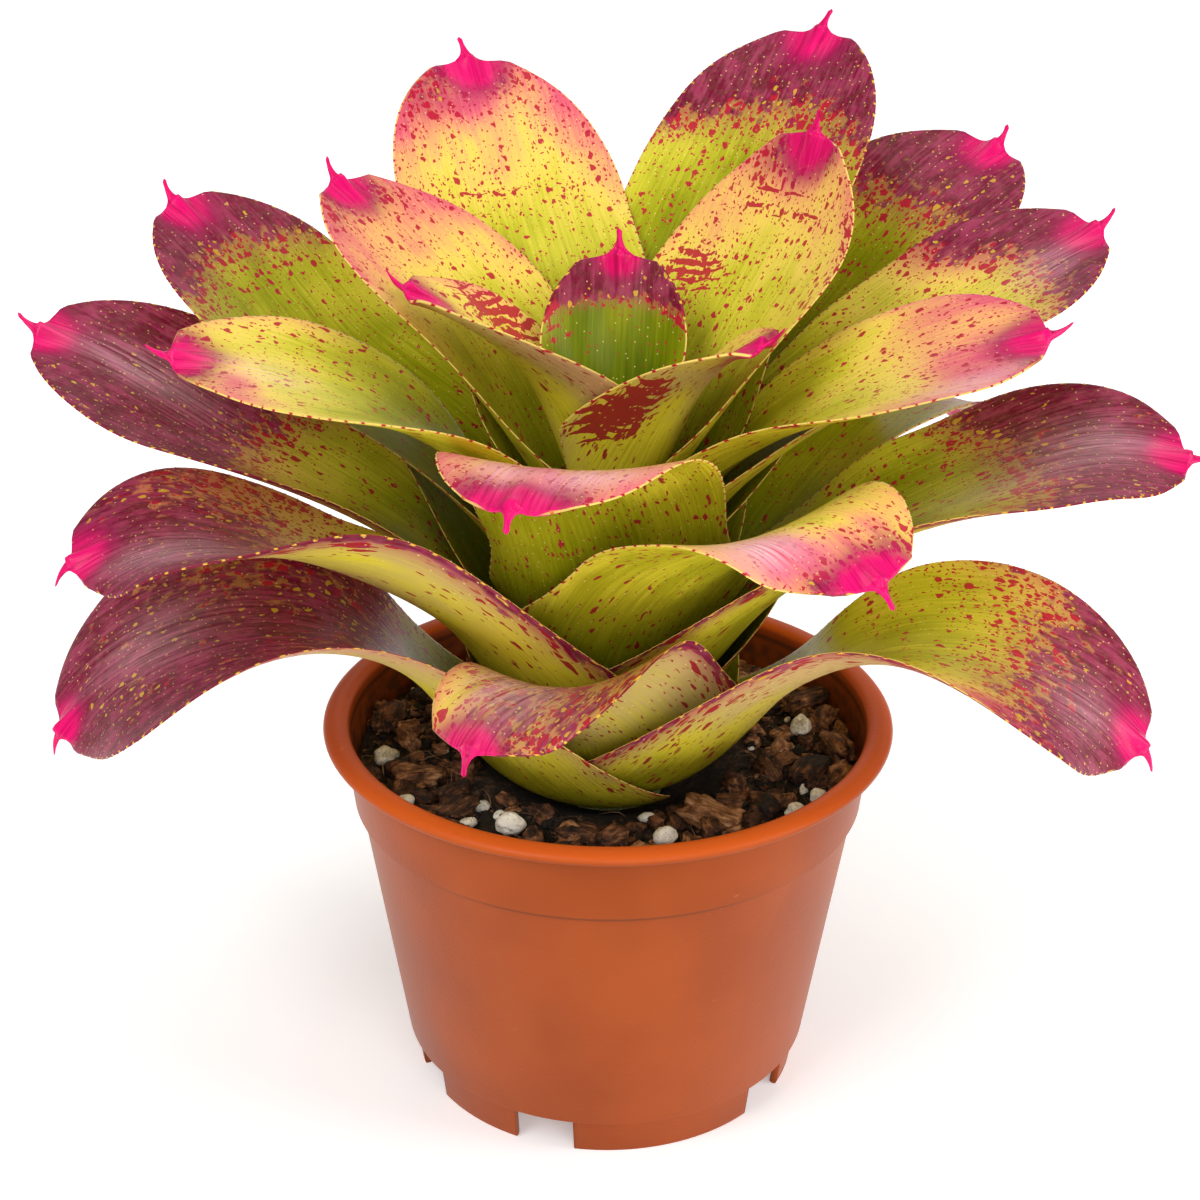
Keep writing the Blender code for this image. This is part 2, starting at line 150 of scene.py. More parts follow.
class Shader:
    """A material and the nodes that paint it."""

    def __init__(self, name: str, dimensions: str = "3D") -> None:
        """Start a material with only a Principled shader.

        Args:
            name: The material's name.
            dimensions: Whether its patterns fill space, 3D, or lie on a sheet, 2D.
        """
        self.dimensions = dimensions
        self.material = bpy.data.materials.new(name)
        self.material.use_nodes = True
        self.tree = self.material.node_tree
        self.surface = self.tree.nodes["Principled BSDF"]

    def add(self, kind: str, settings: dict[str, object],
            sockets: dict[str | int, object]) -> Outputs:
        """Add a node.

        Args:
            kind: The node's type, without the leading ShaderNode.
            settings: Its properties, and a ramp's stops.
            sockets: What each input holds, or the value that is linked to it.

        Returns:
            The node's outputs.
        """
        node = self.tree.nodes.new(f"ShaderNode{kind}")
        for key, setting in settings.items():
            if key == "stops":
                self._set_stops(node.color_ramp, setting)
            else:
                setattr(node, key, setting)
        for key, value in sockets.items():
            self._fill(node.inputs[key], value)
        return Outputs(self, node)

    def _fill(self, target: bpy.types.NodeSocket, value: object) -> None:
        """Link a value to an input, or set a constant there."""
        if isinstance(value, Value):
            self.tree.links.new(value.link, target)
        elif target.type == "RGBA" and len(value) == 3:
            target.default_value = (*value, 1)
        else:
            target.default_value = value

    @staticmethod
    def _set_stops(ramp: bpy.types.ColorRamp, stops: Stops) -> None:
        """Give a colour ramp its stops."""
        while len(ramp.elements) < len(stops):
            ramp.elements.new(1)
        for element, (place, colour) in zip(ramp.elements, stops):
            element.position = place
            element.color = (*colour, 1)

    def attribute(self, name: str) -> Outputs:
        """Read what the mesh stores at each point under a name."""
        return self.add("Attribute", {"attribute_name": name}, {})

    def split(self, vector: Value) -> tuple[Value, Value, Value]:
        """Return the three parts of a vector."""
        parts = self.add("SeparateXYZ", {}, {"Vector": vector})
        return parts["X"], parts["Y"], parts["Z"]

    def stretch(self, vector: Value, scale: Colour) -> Value:
        """Multiply a vector by three numbers."""
        made = self.add("VectorMath", {"operation": "MULTIPLY"}, {0: vector, 1: scale})
        return made["Vector"]

    def noise(self, at: Value, scale: float, detail: float = 2, roughness: float = 0.5) -> Value:
        """Add cloud-like noise.

        Args:
            at: Where it is read.
            scale: Features per unit of that place.
            detail: How many finer layers it has.
            roughness: How strong those layers are.

        Returns:
            The noise, mostly from 0.3 to 0.7.
        """
        sockets = {"Vector": at, "Scale": scale, "Detail": detail, "Roughness": roughness}
        return self.add("TexNoise", {"noise_dimensions": self.dimensions}, sockets)["Fac"]

    def cells(self, at: Value, scale: float) -> tuple[Value, Value, Value]:
        """Add scattered points.

        Args:
            at: Where they are read.
            scale: Points per unit of that place.

        Returns:
            The distance to the nearest point, and two random numbers that belong to it.
        """
        settings = {"voronoi_dimensions": self.dimensions}
        made = self.add("TexVoronoi", settings, {"Vector": at, "Scale": scale})
        first, second, _ = self.split(made["Color"])
        return made["Distance"], first, second

    def wander(self, at: Value, scale: float, reach: float) -> Value:
        """Shift places about, so that a pattern read there loses its regular shapes.

        Args:
            at: The places.
            scale: Shifts per unit of place.
            reach: How far the shifts go.

        Returns:
            The shifted places.
        """
        sockets = {"Vector": at, "Scale": scale, "Detail": 1.0}
        shift = self.add("TexNoise", {"noise_dimensions": self.dimensions}, sockets)["Color"]
        made = self.add("VectorMath", {"operation": "MULTIPLY_ADD"},
                        {0: shift, 1: (reach, reach, 0), 2: at})
        return made["Vector"]

    def mix(self, share: Value | float, first: object, second: object, how: str = "MIX") -> Value:
        """Mix two colours.

        Args:
            share: How much of the second shows.
            first: A colour, or a value that holds one.
            second: The other colour.
            how: The node's blend type.

        Returns:
            The mixed colour.
        """
        settings = {"data_type": "RGBA", "blend_type": how}
        return self.add("Mix", settings, {0: share, 6: first, 7: second})[2]

    def ramp(self, value: Value, stops: Stops) -> Value:
        """Turn a number into a colour."""
        return self.add("ValToRGB", {"stops": stops}, {"Fac": value})["Color"]

    def reach(self, place: Value) -> Value:
        """Return how far a place is from the origin."""
        return self.add("VectorMath", {"operation": "LENGTH"}, {0: place})["Value"]

    def finish(self, sockets: dict[str, object], height: Value | None = None,
               depth: float = 0) -> bpy.types.Material:
        """Fill the Principled shader.

        Args:
            sockets: Its inputs by name.
            height: Relief, from 0 to 1.
            depth: How deep the relief is, in metres.

        Returns:
            The material.
        """
        for key, value in sockets.items():
            self._fill(self.surface.inputs[key], value)
        if height is not None:
            relief = self.add("Bump", {}, {"Strength": 1.0, "Distance": depth, "Height": height})
            self._fill(self.surface.inputs["Normal"], relief["Normal"])
        return self.material


# Leaves, in millimetres and degrees.
TOOTH_SPACING = 3.4
POINT_LENGTH = 6.4
SHEATH_HALF_TURN = 88
RISE_RUN = 16
TEETH_FROM = 0.30
BLADE_ROWS = 84
POINT_ROWS = 10
COLUMNS = 37


class LeafFace(Enum):
    """The two faces of a leaf, by their place in its list of materials."""

    UPPER = 0
    LOWER = 1


@dataclass(frozen=True)
class LeafFinish:
    """One face of a leaf.

    The mesh stores where each point is on the blade and how it is painted there: blade holds the
    distances across and along in millimetres and the leaf's own shift; paint holds cover, ripeness,
    spots and bands; form holds the distance to the margin, the magenta of the point and the painted
    sheen, a painted highlight.

    spot_layers has, for each size of crimson spot, how close they lie, their largest radius as a
    share of that, and how many of them show. bars_per_mm is how close the bars lie.
    """

    name: str
    ripening: Stops
    cover_dark: Colour = (0.140, 0.005, 0.030)
    cover_light: Colour = (0.330, 0.036, 0.100)
    spot: Colour = (0.480, 0.003, 0.034)
    ring: Colour = (0.330, 0.004, 0.075)
    tip_groove_shade: Colour = (0.480, 0.002, 0.085)
    magenta: Colour = (0.780, 0.004, 0.150)
    fleck: Colour = (0.700, 0.430, 0.030)
    wash: Colour = (0.400, 0.085, 0.075)
    vein_shade: Colour = (0.68, 0.62, 0.60)
    painted_sheen: Colour = (0.90, 0.60, 0.64)
    scale: Colour = (0.86, 0.72, 0.25)
    pale_margin: Colour = (0.80, 0.58, 0.14)
    dark_margin: Colour = (0.24, 0.010, 0.04)
    red_tooth: Colour = (0.45, 0.006, 0.03)
    yellow_tooth: Colour = (0.74, 0.46, 0.05)
    shine: Colour = (0.90, 0.66, 0.42)
    spot_layers: tuple = ((0.80, 0.27, 0.85), (0.38, 0.32, 0.55))
    spot_stretch: float = 0.75
    bars_per_mm: float = 0.27
    roughness: float = 0.33
    coat: float = 0.09
    coat_roughness: float = 0.20
    specular: float = 0.14
    vein_depth: float = 0.00018

    def make(self) -> bpy.types.Material:
        """Paint the face and return its material."""
        sh = Shader(self.name, "2D")
        across, along, shift = sh.split(sh.attribute("blade")["Vector"])
        blade = sh.add("CombineXYZ", {}, {"X": across + shift, "Y": along + shift})["Vector"]
        paint = sh.attribute("paint")
        cover, ripe, spots = sh.split(paint["Color"])
        bands = paint["Alpha"]
        margin, tip, painted_sheen = sh.split(sh.attribute("form")["Vector"])
        streaks = sh.noise(sh.stretch(blade, (1, 0.035, 1)), 1.1, 3, 0.6)
        clouds = sh.noise(sh.stretch(blade, (1, 0.6, 1)), 0.07, 2)
        bent = sh.wander(sh.stretch(blade, (1, self.spot_stretch, 1)), 0.6, 1.5)

        # The ground colour, with the maroon, crimson and yellow marks over it.
        ripeness = ripe + (clouds - 0.5) * 0.34 + (streaks - 0.5) * 0.22
        colour = sh.ramp(ripeness, self.ripening)
        ragged = sh.noise(sh.stretch(blade, (1, 0.50, 1)), 0.22, 3, 0.74)
        distance, chance, size = sh.cells(bent, 0.34)
        covered = (cover * 1.40 + (ragged - 0.5) * 1.5 - distance * 0.70).ease(0.52, 0.86)
        mottle = ragged + (streaks - 0.5) * 0.6
        shade = sh.mix(mottle.ease(0.38, 0.70), self.cover_dark, self.cover_light)
        colour = sh.mix(cover.ease(0.05, 0.90) * 0.80, colour, self.wash)
        crowd = spots + cover * 0.8 + bands * 0.9 + (sh.noise(blade, 0.09, 1) - 0.5) * 1.5
        grown = cover.ease(0.0, 0.7) * 0.9 + bands * 0.9 + 1
        spotted = self._spotted(sh, bent, crowd, grown)
        drifted = along + across * across * 0.012 + (clouds - 0.5) * 12
        banded = self._banded(sh, blade, drifted, bands)
        colour = sh.mix(spotted.above(banded) * 0.94, colour, self.spot)
        colour = sh.mix(covered * 0.90, colour, shade)
        flecked = self._flecked(distance, chance, size, clouds, cover) * covered
        colour = sh.mix(flecked * 0.85, colour, self.fleck)
        colour = sh.mix((1 - streaks) * 0.40, colour, self.vein_shade, "MULTIPLY")

        # The magenta point, the pale scales and the margin.
        near_tip = tip + (clouds - 0.5) * 0.20 + (streaks - 0.5) * 0.10
        at_tip = near_tip.ease(0.26, 0.70)
        colour = sh.mix(near_tip.ease(0.02, 0.45) * 0.80, colour, self.ring)
        # Painted shade: the magenta point is darker in the grooves of its fine ridges.
        vivid = sh.mix(streaks.ease(0.25, 0.65), self.tip_groove_shade, self.magenta)
        colour = sh.mix(at_tip, colour, vivid)
        # Painted highlight: a pale pink sheen along the streaks, where the blade would catch the light.
        colour = sh.mix(painted_sheen * streaks.ease(0.15, 0.70) * 0.8, colour, self.painted_sheen)
        distance, chance, _ = sh.cells(blade, 0.36)
        scales = (distance < 0.070) * (chance < 0.5)
        colour = sh.mix(scales * (1 - at_tip) * 0.6, colour, self.scale)
        colour = self._edged(sh, colour, margin, along + clouds * 9, cover)

        rough = (streaks - 0.5) * 0.30 + (1 - at_tip) * 0.06 + (self.roughness - 0.06)
        return sh.finish({"Base Color": colour, "Roughness": rough, "Coat Weight": self.coat,
                          "Coat Roughness": self.coat_roughness, "Specular IOR Level": self.specular,
                          "Specular Tint": self.shine}, streaks, self.vein_depth)

    @staticmethod
    def _flecked(distance: Value, chance: Value, size: Value, clouds: Value,
                 cover: Value) -> Value:
        """Leave small yellow dots and dashes in the maroon, larger where it is thin.

        Args:
            distance: How far the nearest dot's centre is.
            chance: A random number of that dot's own, which says whether it shows.
            size: Another one, which says how large it is.
            clouds: The slow change over the blade.
            cover: How maroon the blade is.

        Returns:
            1 on a dot, or else 0.
        """
        patch = clouds.ease(0.40, 0.62)
        thin = cover.ease(1.0, 0.6)
        radius = size * size * (patch * 0.14 + thin * 0.14 + 0.03) + 0.06
        return (radius - distance).ease(0.0, 0.03) * (chance < patch * 0.40 + thin * 0.3 + 0.30)

    def _spotted(self, sh: Shader, bent: Value, crowd: Value, grown: Value) -> Value:
        """Scatter crimson spots of several sizes.

        Args:
            sh: The shader.
            bent: Where the spots are read, which makes them irregular.
            crowd: How many of them show.
            grown: How much larger than usual they are.

        Returns:
            1 on a spot, or else 0.
        """
        found = None
        for scale, largest, share in self.spot_layers:
            distance, chance, size = sh.cells(bent, scale)
            radius = (size * size * 0.75 + 0.25) * largest * grown
            mark = (radius - distance).ease(-0.03, 0.05) * (chance < crowd * share)
            found = mark if found is None else found.above(mark)
        return found

    def _banded(self, sh: Shader, blade: Value, along: Value, bands: Value) -> Value:
        """Draw crimson bars across the blade, uneven in width and torn at their ends.

        Args:
            sh: The shader.
            blade: The place on the blade.
            along: How far along it is, with the bars' bend and drift.
            bands: Where bars show.

        Returns:
            1 on a bar, or else 0.
        """
        between = (along * self.bars_per_mm).distance_to_half()
        torn = (sh.noise(sh.stretch(blade, (0.7, 1.2, 1)), 0.30, 2, 0.60) - 0.5) * 1.7
        return (bands * 1.45 - 0.58 - between * 0.95 - torn * 0.7).ease(0.0, 0.10)

    def _edged(self, sh: Shader, colour: Value, margin: Value, along: Value,
               cover: Value) -> Value:
        """Draw the thin margin: pale with red teeth on light leaves, maroon with yellow on dark.

        Args:
            sh: The shader.
            colour: The blade's colour.
            margin: The distance to the margin, in millimetres.
            along: The distance along the blade, with a slow drift.
            cover: How maroon the blade is.

        Returns:
            The colour with the margin.
        """
        points = (along * (1 / TOOTH_SPACING)).distance_to_half().ease(0.72, 0.88)
        dark = cover.ease(0.35, 0.60)
        line = sh.mix(dark, self.pale_margin, self.dark_margin)
        mark = sh.mix(dark, self.red_tooth, self.yellow_tooth)
        colour = sh.mix(margin.ease(0.50, 0.15), colour, line)
        return sh.mix(points * margin.ease(0.75, 0.40), colour, mark)


class Layer(Enum):
    """What paint changes on a blade."""

    COVER = "maroon cover"
    RIPE = "ripeness, from green over yellow to rose"
    SPOTS = "crimson spots"
    BANDS = "crimson bars"
    # A painted highlight: where a pale pink sheen is painted on the blade.
    BLOOM = "pale bloom"


@dataclass(frozen=True)
class Dab:
    """A soft touch of paint on one face of a blade.

    at and size are its centre and reach: the share of the length from stem to point, and the share
    of the half width, where 1 is the margin that lies counter-clockwise.
    """

    layer: Layer
    at: Pair
    size: Pair
    amount: float
    face: LeafFace = LeafFace.UPPER

    def on(self, share: np.ndarray, side: np.ndarray) -> np.ndarray:
        """Return the paint that it adds at each point of a blade."""
        forward = (share - self.at[0]) / self.size[0]
        sideways = (side - self.at[1]) / self.size[1]
        return self.amount * np.exp(-(forward ** 2 + sideways ** 2))


@dataclass(frozen=True)
class Paint:
    """How a leaf is coloured.

    cover is where maroon starts, where it is full, both as shares of the length, and how full it
    gets. ripe and spots are their strengths at the foot of the blade and at its point. below is how
    ripe and how spotted the underside is, and rim the strength of the maroon along its margins.
    """

    cover: tuple[float, float, float]
    ripe: Pair
    spots: Pair
    dabs: tuple[Dab, ...] = ()
    below: Pair = (0.50, 0.30)
    rim: float = 0.0

    def layers(self, share: np.ndarray, side: np.ndarray,
               face: LeafFace) -> dict[Layer, np.ndarray]:
        """Paint points of one face.

        Args:
            share: Share of the length at each point.
            side: Share of the half width there.
            face: The face that the points are on.

        Returns:
            The strength of each layer at each point.
        """
        edge = np.abs(side)
        onward = ease(share, 0.45, 0.97)
        start, end, most = self.cover
        if face is LeafFace.UPPER:
            # Painted shade with the blade's own green: the upper face is darker and greener towards its
            # foot, deep in the rosette.
            green_and_shaded_foot = 0.20 * (1 - ease(share, 0.10, 0.45))
            ripe = self.ripe[0] + (self.ripe[1] - self.ripe[0]) * onward + 0.14 * edge ** 3 - green_and_shaded_foot
            cover = most * ease(share + 0.05 * edge ** 2, start, end)
            spots = self.spots[0] + (self.spots[1] - self.spots[0]) * onward
        else:
            ripe = self.below[0] * ease(share, -0.2, 0.55) + 0.15 * edge ** 3
            cover = self.rim * edge ** 6 + 0.5 * most * ease(share, 0.70, 1.0)
            spots = self.below[1] + 0.2 * onward
        none = 0 * share
        layers = {Layer.COVER: cover, Layer.RIPE: ripe, Layer.SPOTS: spots, Layer.BANDS: none,
                  Layer.BLOOM: none}
        for dab in self.dabs:
            if dab.face is face:
                layers[dab.layer] = layers[dab.layer] + dab.on(share, side)
        return {key: np.clip(layer, 0, 1.2) for key, layer in layers.items()}


@dataclass(frozen=True)
class LeafPlan:
    """One leaf: its midrib as (radius, height), and how its blade is shaped and painted.

    heading is the azimuth at the stem and at the point, in degrees counter-clockwise from +X. width
    is across the widest blade, waist across the narrow part above the sheath and sheath round the
    stem. rise is the slope of the sheath where it starts. cup is half the angle of the blade's arc,
    near the waist and near the point. roll lifts the counter-clockwise margin, at the middle and at
    the point. lobe lowers the blade beside the point. hug is the share of the length that lies round
    the stem. hook lifts the hooked point, and lean turns it towards the counter-clockwise margin.
    blush is the size of the magenta behind the point, in millimetres along and across.
    """

    midrib: tuple[Pair, ...]
    heading: Pair
    width: float
    waist: float
    rise: float
    cup: Pair
    roll: Pair = (0, 0)
    lobe: float = 0
    sheath: float = 96
    hug: float = 0.45
    paint: Paint = Paint((0.62, 0.92, 1.0), (0.36, 0.50), (0.45, 0.80), rim=0.8)
    hook: float = 2.4
    lean: float = 1.2
    blush: Pair = (11.0, 9.5)


def dabs(*rows: tuple) -> tuple[Dab, ...]:
    """Return dabs from rows of layer, share, side, reach along, reach across, amount and face."""
    return tuple(Dab(row[0], row[1:3], row[3:5], *row[5:]) for row in rows)


COVER, RIPE, SPOTS, BANDS, BLOOM = Layer
BELOW = LeafFace.LOWER

# Outermost first, as they grow up the stem. Those with no paint of their own face the back.
LEAVES = (
    LeafPlan(((50, 119), (68, 137), (90, 143), (114, 136), (132, 122), (141, 111)), (214, 191),
             68, 62, 30, (50, 16), (-6, -18), 6, hook=-2.0, lean=1.0, blush=(9, 9), paint=Paint(
                 (0.32, 0.62, 1.00), (0.42, 0.60), (0.55, 0.80), dabs(
                     (COVER, 0.64, -0.70, 0.17, 0.45, -0.30), (COVER, 0.42, -0.40, 0.10, 0.80, 0.55),
                     (BLOOM, 0.78, -0.10, 0.10, 0.35, 0.35)), (0.80, 0.35), 0.5)),
    LeafPlan(((47, 117), (64, 134), (84, 143), (108, 140), (126, 130), (138, 118)), (316, 341),
             66, 50, 34, (54, 16), (0, 16), 6, hook=-1.6, lean=-1.0, paint=Paint(
                 (0.58, 0.92, 1.05), (0.44, 0.62), (0.45, 0.95), dabs(
                     (COVER, 0.68, -0.40, 0.08, 0.40, 0.22), (COVER, 0.80, 0.80, 0.09, 0.40, -0.30),
                     (SPOTS, 0.68, 0.85, 0.12, 0.30, 0.50), (RIPE, 0.74, -0.90, 0.12, 0.25, 0.45),
                     (BLOOM, 0.86, -0.20, 0.08, 0.40, 0.30)), (0.86, 0.85), 0.9)),
    LeafPlan(((48, 129), (68, 143), (86, 141), (95, 128)), (78, 78),
             62, 48, 38, (50, 18), (0, 0), 5),
    LeafPlan(((44, 125), (56, 138), (70, 139), (82, 133)), (292, 247),
             58, 56, 42, (30, 12), (10, 2), 3, 90, hook=-1.4, lean=0.6, blush=(7, 9), paint=Paint(
                 (0.54, 0.76, 0.64), (0.50, 0.70), (0.50, 0.90), dabs(
                     (COVER, 0.90, -0.80, 0.09, 0.30, -0.40), (COVER, 0.80, 0.10, 0.10, 0.50, 0.10),
                     (BLOOM, 0.80, -0.20, 0.12, 0.60, 0.65)), (0.78, 0.65), 1.1)),
    LeafPlan(((46, 135), (66, 152), (88, 157), (106, 147)), (125, 118),
             62, 48, 46, (50, 18), (0, 0), 4),
    LeafPlan(((46, 139), (66, 155), (90, 165), (114, 168), (134, 160)), (222, 194),
             64, 62, 50, (62, 16), (14, -14), 5, hook=-2.6, lean=1.2, paint=Paint(
                 (0.48, 0.80, 1.00), (0.46, 0.80), (0.50, 0.90), dabs(
                     (COVER, 0.76, -0.80, 0.17, 0.45, -0.42), (SPOTS, 0.76, -0.80, 0.17, 0.45, 0.25),
                     (RIPE, 0.66, 0.10, 0.10, 0.50, 0.15), (BLOOM, 0.80, 0.45, 0.12, 0.30, 0.45)),
                 (0.70, 0.30), 1.15)),
    LeafPlan(((46, 141), (72, 161), (98, 170), (122, 164), (137, 153)), (35, 40),
             62, 48, 52, (50, 18), (0, 0), 4),
    LeafPlan(((50, 150), (76, 168), (100, 179), (122, 184), (142, 182)), (335, 354),
             65, 62, 56, (46, 18), (4, 12), hook=1.4, lean=1.4, paint=Paint(
                 (0.58, 0.88, 1.05), (0.36, 0.60), (0.65, 1.00), dabs(
                     (COVER, 0.78, 0.85, 0.10, 0.35, 0.25), (COVER, 0.75, -0.55, 0.08, 0.25, -0.10),
                     (BLOOM, 0.86, 0.10, 0.10, 0.35, 0.45), (BLOOM, 0.72, -0.25, 0.10, 0.20, 0.25)),
                 (0.62, 0.30), 0.9)),
    LeafPlan(((50, 155), (76, 171), (104, 186), (128, 198), (144, 204)), (190, 175),
             66, 52, 58, (46, 18), (-4, -16), hook=1.6, lean=-1.4, paint=Paint(
                 (0.50, 0.76, 1.08), (0.45, 0.55), (0.60, 0.80), dabs(
                     (COVER, 0.77, -0.85, 0.06, 0.30, -0.50), (RIPE, 0.62, 0.20, 0.10, 0.60, 0.18),
                     (BLOOM, 0.84, -0.05, 0.12, 0.25, 0.40)), (0.80, 0.35), 1.0)),
    LeafPlan(((46, 159), (70, 176), (94, 187), (118, 187), (134, 181)), (146, 140),
             60, 50, 60, (46, 18)),
    LeafPlan(((42, 155.5), (62, 175.5), (80, 184), (98, 177)), (284, 307),
             64, 54, 63, (34, 12), (0, 10), 4, hook=-2.6, lean=0.8, blush=(9, 12), paint=Paint(
                 (0.92, 1.10, 0.50), (0.46, 0.66), (0.45, 0.85), dabs(
                     (RIPE, 0.86, -0.50, 0.12, 0.50, 0.34), (COVER, 0.95, -0.65, 0.06, 0.40, 0.62),
                     (COVER, 0.94, 0.50, 0.05, 0.30, 0.55), (RIPE, 0.90, 0.30, 0.05, 0.40, 0.25),
                     (BLOOM, 0.80, -0.55, 0.07, 0.35, 1.10)), (0.45, 0.45), 0.3)),
    LeafPlan(((40, 165), (57, 192), (76, 201), (94, 200)), (276, 257),
             64, 60, 66, (32, 14), (0, 0), 5, hook=-2.4, lean=0.4, blush=(9, 14), paint=Paint(
                 (0.94, 1.10, 0.50), (0.56, 0.80), (0.50, 0.95), dabs(
                     (COVER, 0.95, -0.60, 0.06, 0.35, 0.62), (COVER, 0.95, 0.60, 0.06, 0.35, 0.62),
                     (RIPE, 0.90, 0.00, 0.10, 0.80, 0.20), (BLOOM, 0.88, -0.30, 0.05, 0.30, 0.70),
                     (BLOOM, 0.86, 0.45, 0.06, 0.35, 0.80),
                     (SPOTS, 0.66, 0.45, 0.10, 0.45, 0.75, BELOW),
                     (RIPE, 0.68, 0.55, 0.08, 0.40, 0.30, BELOW)), (0.30, 0.50), 0.2)),
    LeafPlan(((44, 163.5), (62, 175.5), (82, 183), (98, 181), (109, 173)), (66, 60),
             60, 50, 66, (44, 18)),
    LeafPlan(((43, 170.5), (60, 179.5), (80, 190), (104, 208), (128, 225)), (168, 154),
             64, 54, 67.5, (40, 20), (-4, -8), hook=2.0, lean=-1.4, paint=Paint(
                 (0.78, 0.97, 1.05), (0.34, 0.46), (0.55, 1.00), dabs(
                     (COVER, 0.82, 0.80, 0.10, 0.40, 0.34), (SPOTS, 0.66, 0.30, 0.10, 0.60, 0.20)),
                 (0.50, 0.35), 0.6)),
    LeafPlan(((38, 176), (56, 194), (80, 206), (107, 213)), (222, 198),
             60, 50, 70, (46, 18), (-4, -12), hook=1.6, lean=-1.4, paint=Paint(
                 (0.94, 1.10, 0.50), (0.30, 0.64), (0.45, 0.85), dabs(
                     (COVER, 0.97, 0.55, 0.05, 0.40, 0.62), (COVER, 0.98, -0.60, 0.04, 0.30, 0.55),
                     (RIPE, 0.90, 0.45, 0.05, 0.45, 0.34), (SPOTS, 0.78, -0.75, 0.08, 0.30, 0.70),
                     (BLOOM, 0.86, 0.10, 0.08, 0.25, 0.35)), (0.45, 0.35), 0.3)),
    LeafPlan(((36, 169), (60, 184), (86, 204), (110, 224), (133, 235)), (44, 38),
             64, 52, 71, (36, 18), (0, 14), hook=2.2, lean=1.4, paint=Paint(
                 (0.70, 0.92, 1.05), (0.34, 0.50), (0.60, 0.95), (), (0.50, 0.35), 0.6)),
    LeafPlan(((35, 173.5), (57, 191), (82, 206), (106, 219), (125, 228)), (-6, 12),
             64, 52, 72, (40, 20), (4, 12), hook=1.8, lean=1.6, paint=Paint(
                 (0.76, 0.96, 1.00), (0.42, 0.66), (0.65, 1.00), dabs(
                     (COVER, 0.84, 0.80, 0.09, 0.38, 0.48), (RIPE, 0.84, 0.70, 0.12, 0.45, 0.22),
                     (BLOOM, 0.90, -0.20, 0.06, 0.30, 0.40)), (0.50, 0.35), 0.5)),
    LeafPlan(((34, 174.5), (52, 188), (72, 197), (86, 198), (95, 192)), (95, 95),
             60, 50, 73, (44, 18), (0, 0), 0, 92),
    LeafPlan(((34, 179.5), (57, 197), (84, 210), (105, 216)), (325, 347),
             64, 52, 74, (46, 18), (4, 14), 0, 92, hook=1.8, lean=1.4, paint=Paint(
                 (0.94, 1.10, 0.50), (0.40, 0.86), (0.60, 1.00), dabs(
                     (COVER, 0.98, -0.55, 0.05, 0.40, 0.70), (RIPE, 0.86, -0.20, 0.10, 0.70, 0.16),
                     (SPOTS, 0.78, -0.20, 0.10, 0.80, 0.25), (BLOOM, 0.86, -0.75, 0.09, 0.22, 0.90)),
                 (0.45, 0.40), 0.3)),
    LeafPlan(((35, 186), (54, 207), (69, 223), (84, 238), (98, 252), (110, 263)), (64, 59),
             64, 58, 76, (34, 18), (0, 0), 0, 92, hook=1.4, lean=-1.4, paint=Paint(
                 (0.72, 0.93, 1.05), (0.32, 0.52), (0.70, 1.10), dabs(
                     (COVER, 0.82, 0.90, 0.08, 0.30, 0.22), (COVER, 0.86, -0.45, 0.04, 0.25, -0.20)),
                 (0.50, 0.35), 0.6)),
    LeafPlan(((32, 188), (46, 206), (62, 219), (76, 232), (89, 244), (101, 255)), (118, 113),
             64, 60, 78, (34, 20), (0, 0), 0, 92, hook=1.4, lean=1.0, paint=Paint(
                 (0.97, 1.12, 0.50), (0.38, 0.86), (0.75, 1.10), dabs(
                     (COVER, 0.94, 0.70, 0.09, 0.50, 0.62), (COVER, 0.97, -0.45, 0.06, 0.45, 0.60),
                     (RIPE, 0.92, 0.10, 0.05, 0.50, 0.16), (BANDS, 0.735, 0.00, 0.008, 0.95, 0.80),
                     (SPOTS, 0.86, -0.70, 0.10, 0.30, 0.45)), (0.50, 0.35), 0.3)),
    LeafPlan(((28, 188), (41, 205), (56, 218), (70, 229), (79, 236)), (158, 152),
             64, 60, 78, (40, 22), (0, 0), 0, 90, 0.55, hook=2.0, lean=-1.2, paint=Paint(
                 (0.97, 1.12, 0.50), (0.44, 0.86), (0.55, 0.95), dabs(
                     (COVER, 0.96, -0.40, 0.07, 0.50, 0.62), (COVER, 0.95, 0.70, 0.08, 0.35, 0.55),
                     (SPOTS, 0.72, -0.50, 0.10, 0.60, 0.25)), (0.50, 0.40), 0.3)),
    LeafPlan(((26, 188), (39, 206), (51, 220), (61, 236), (65, 248)), (26, 38),
             66, 62, 79, (44, 24), (0, 0), 0, 90, 0.55, hook=1.6, lean=-1.4, paint=Paint(
                 (0.97, 1.12, 0.50), (0.44, 0.78), (0.72, 1.00), dabs(
                     (COVER, 0.95, 0.60, 0.07, 0.40, 0.66), (COVER, 0.98, -0.50, 0.05, 0.40, 0.60),
                     (RIPE, 0.92, 0.05, 0.05, 0.50, 0.14), (BANDS, 0.68, 0.62, 0.07, 0.34, 0.90),
                     (BANDS, 0.840, 0.15, 0.011, 0.80, 0.85), (BANDS, 0.880, 0.25, 0.010, 0.65, 0.80),
                     (BANDS, 0.78, -0.95, 0.12, 0.22, 0.62)),
                 (0.50, 0.35), 0.3)),
    LeafPlan(((15, 178), (23, 196), (34, 208), (44, 214)), (300, 325),
             56, 60, 82, (60, 40), (0, 0), 0, 80, 0.75, hook=2.0, lean=0.8, paint=Paint(
                 (0.97, 1.12, 0.50), (0.50, 0.70), (0.50, 0.85), dabs(
                     (BANDS, 0.66, -0.68, 0.10, 0.40, 1.15, BELOW),
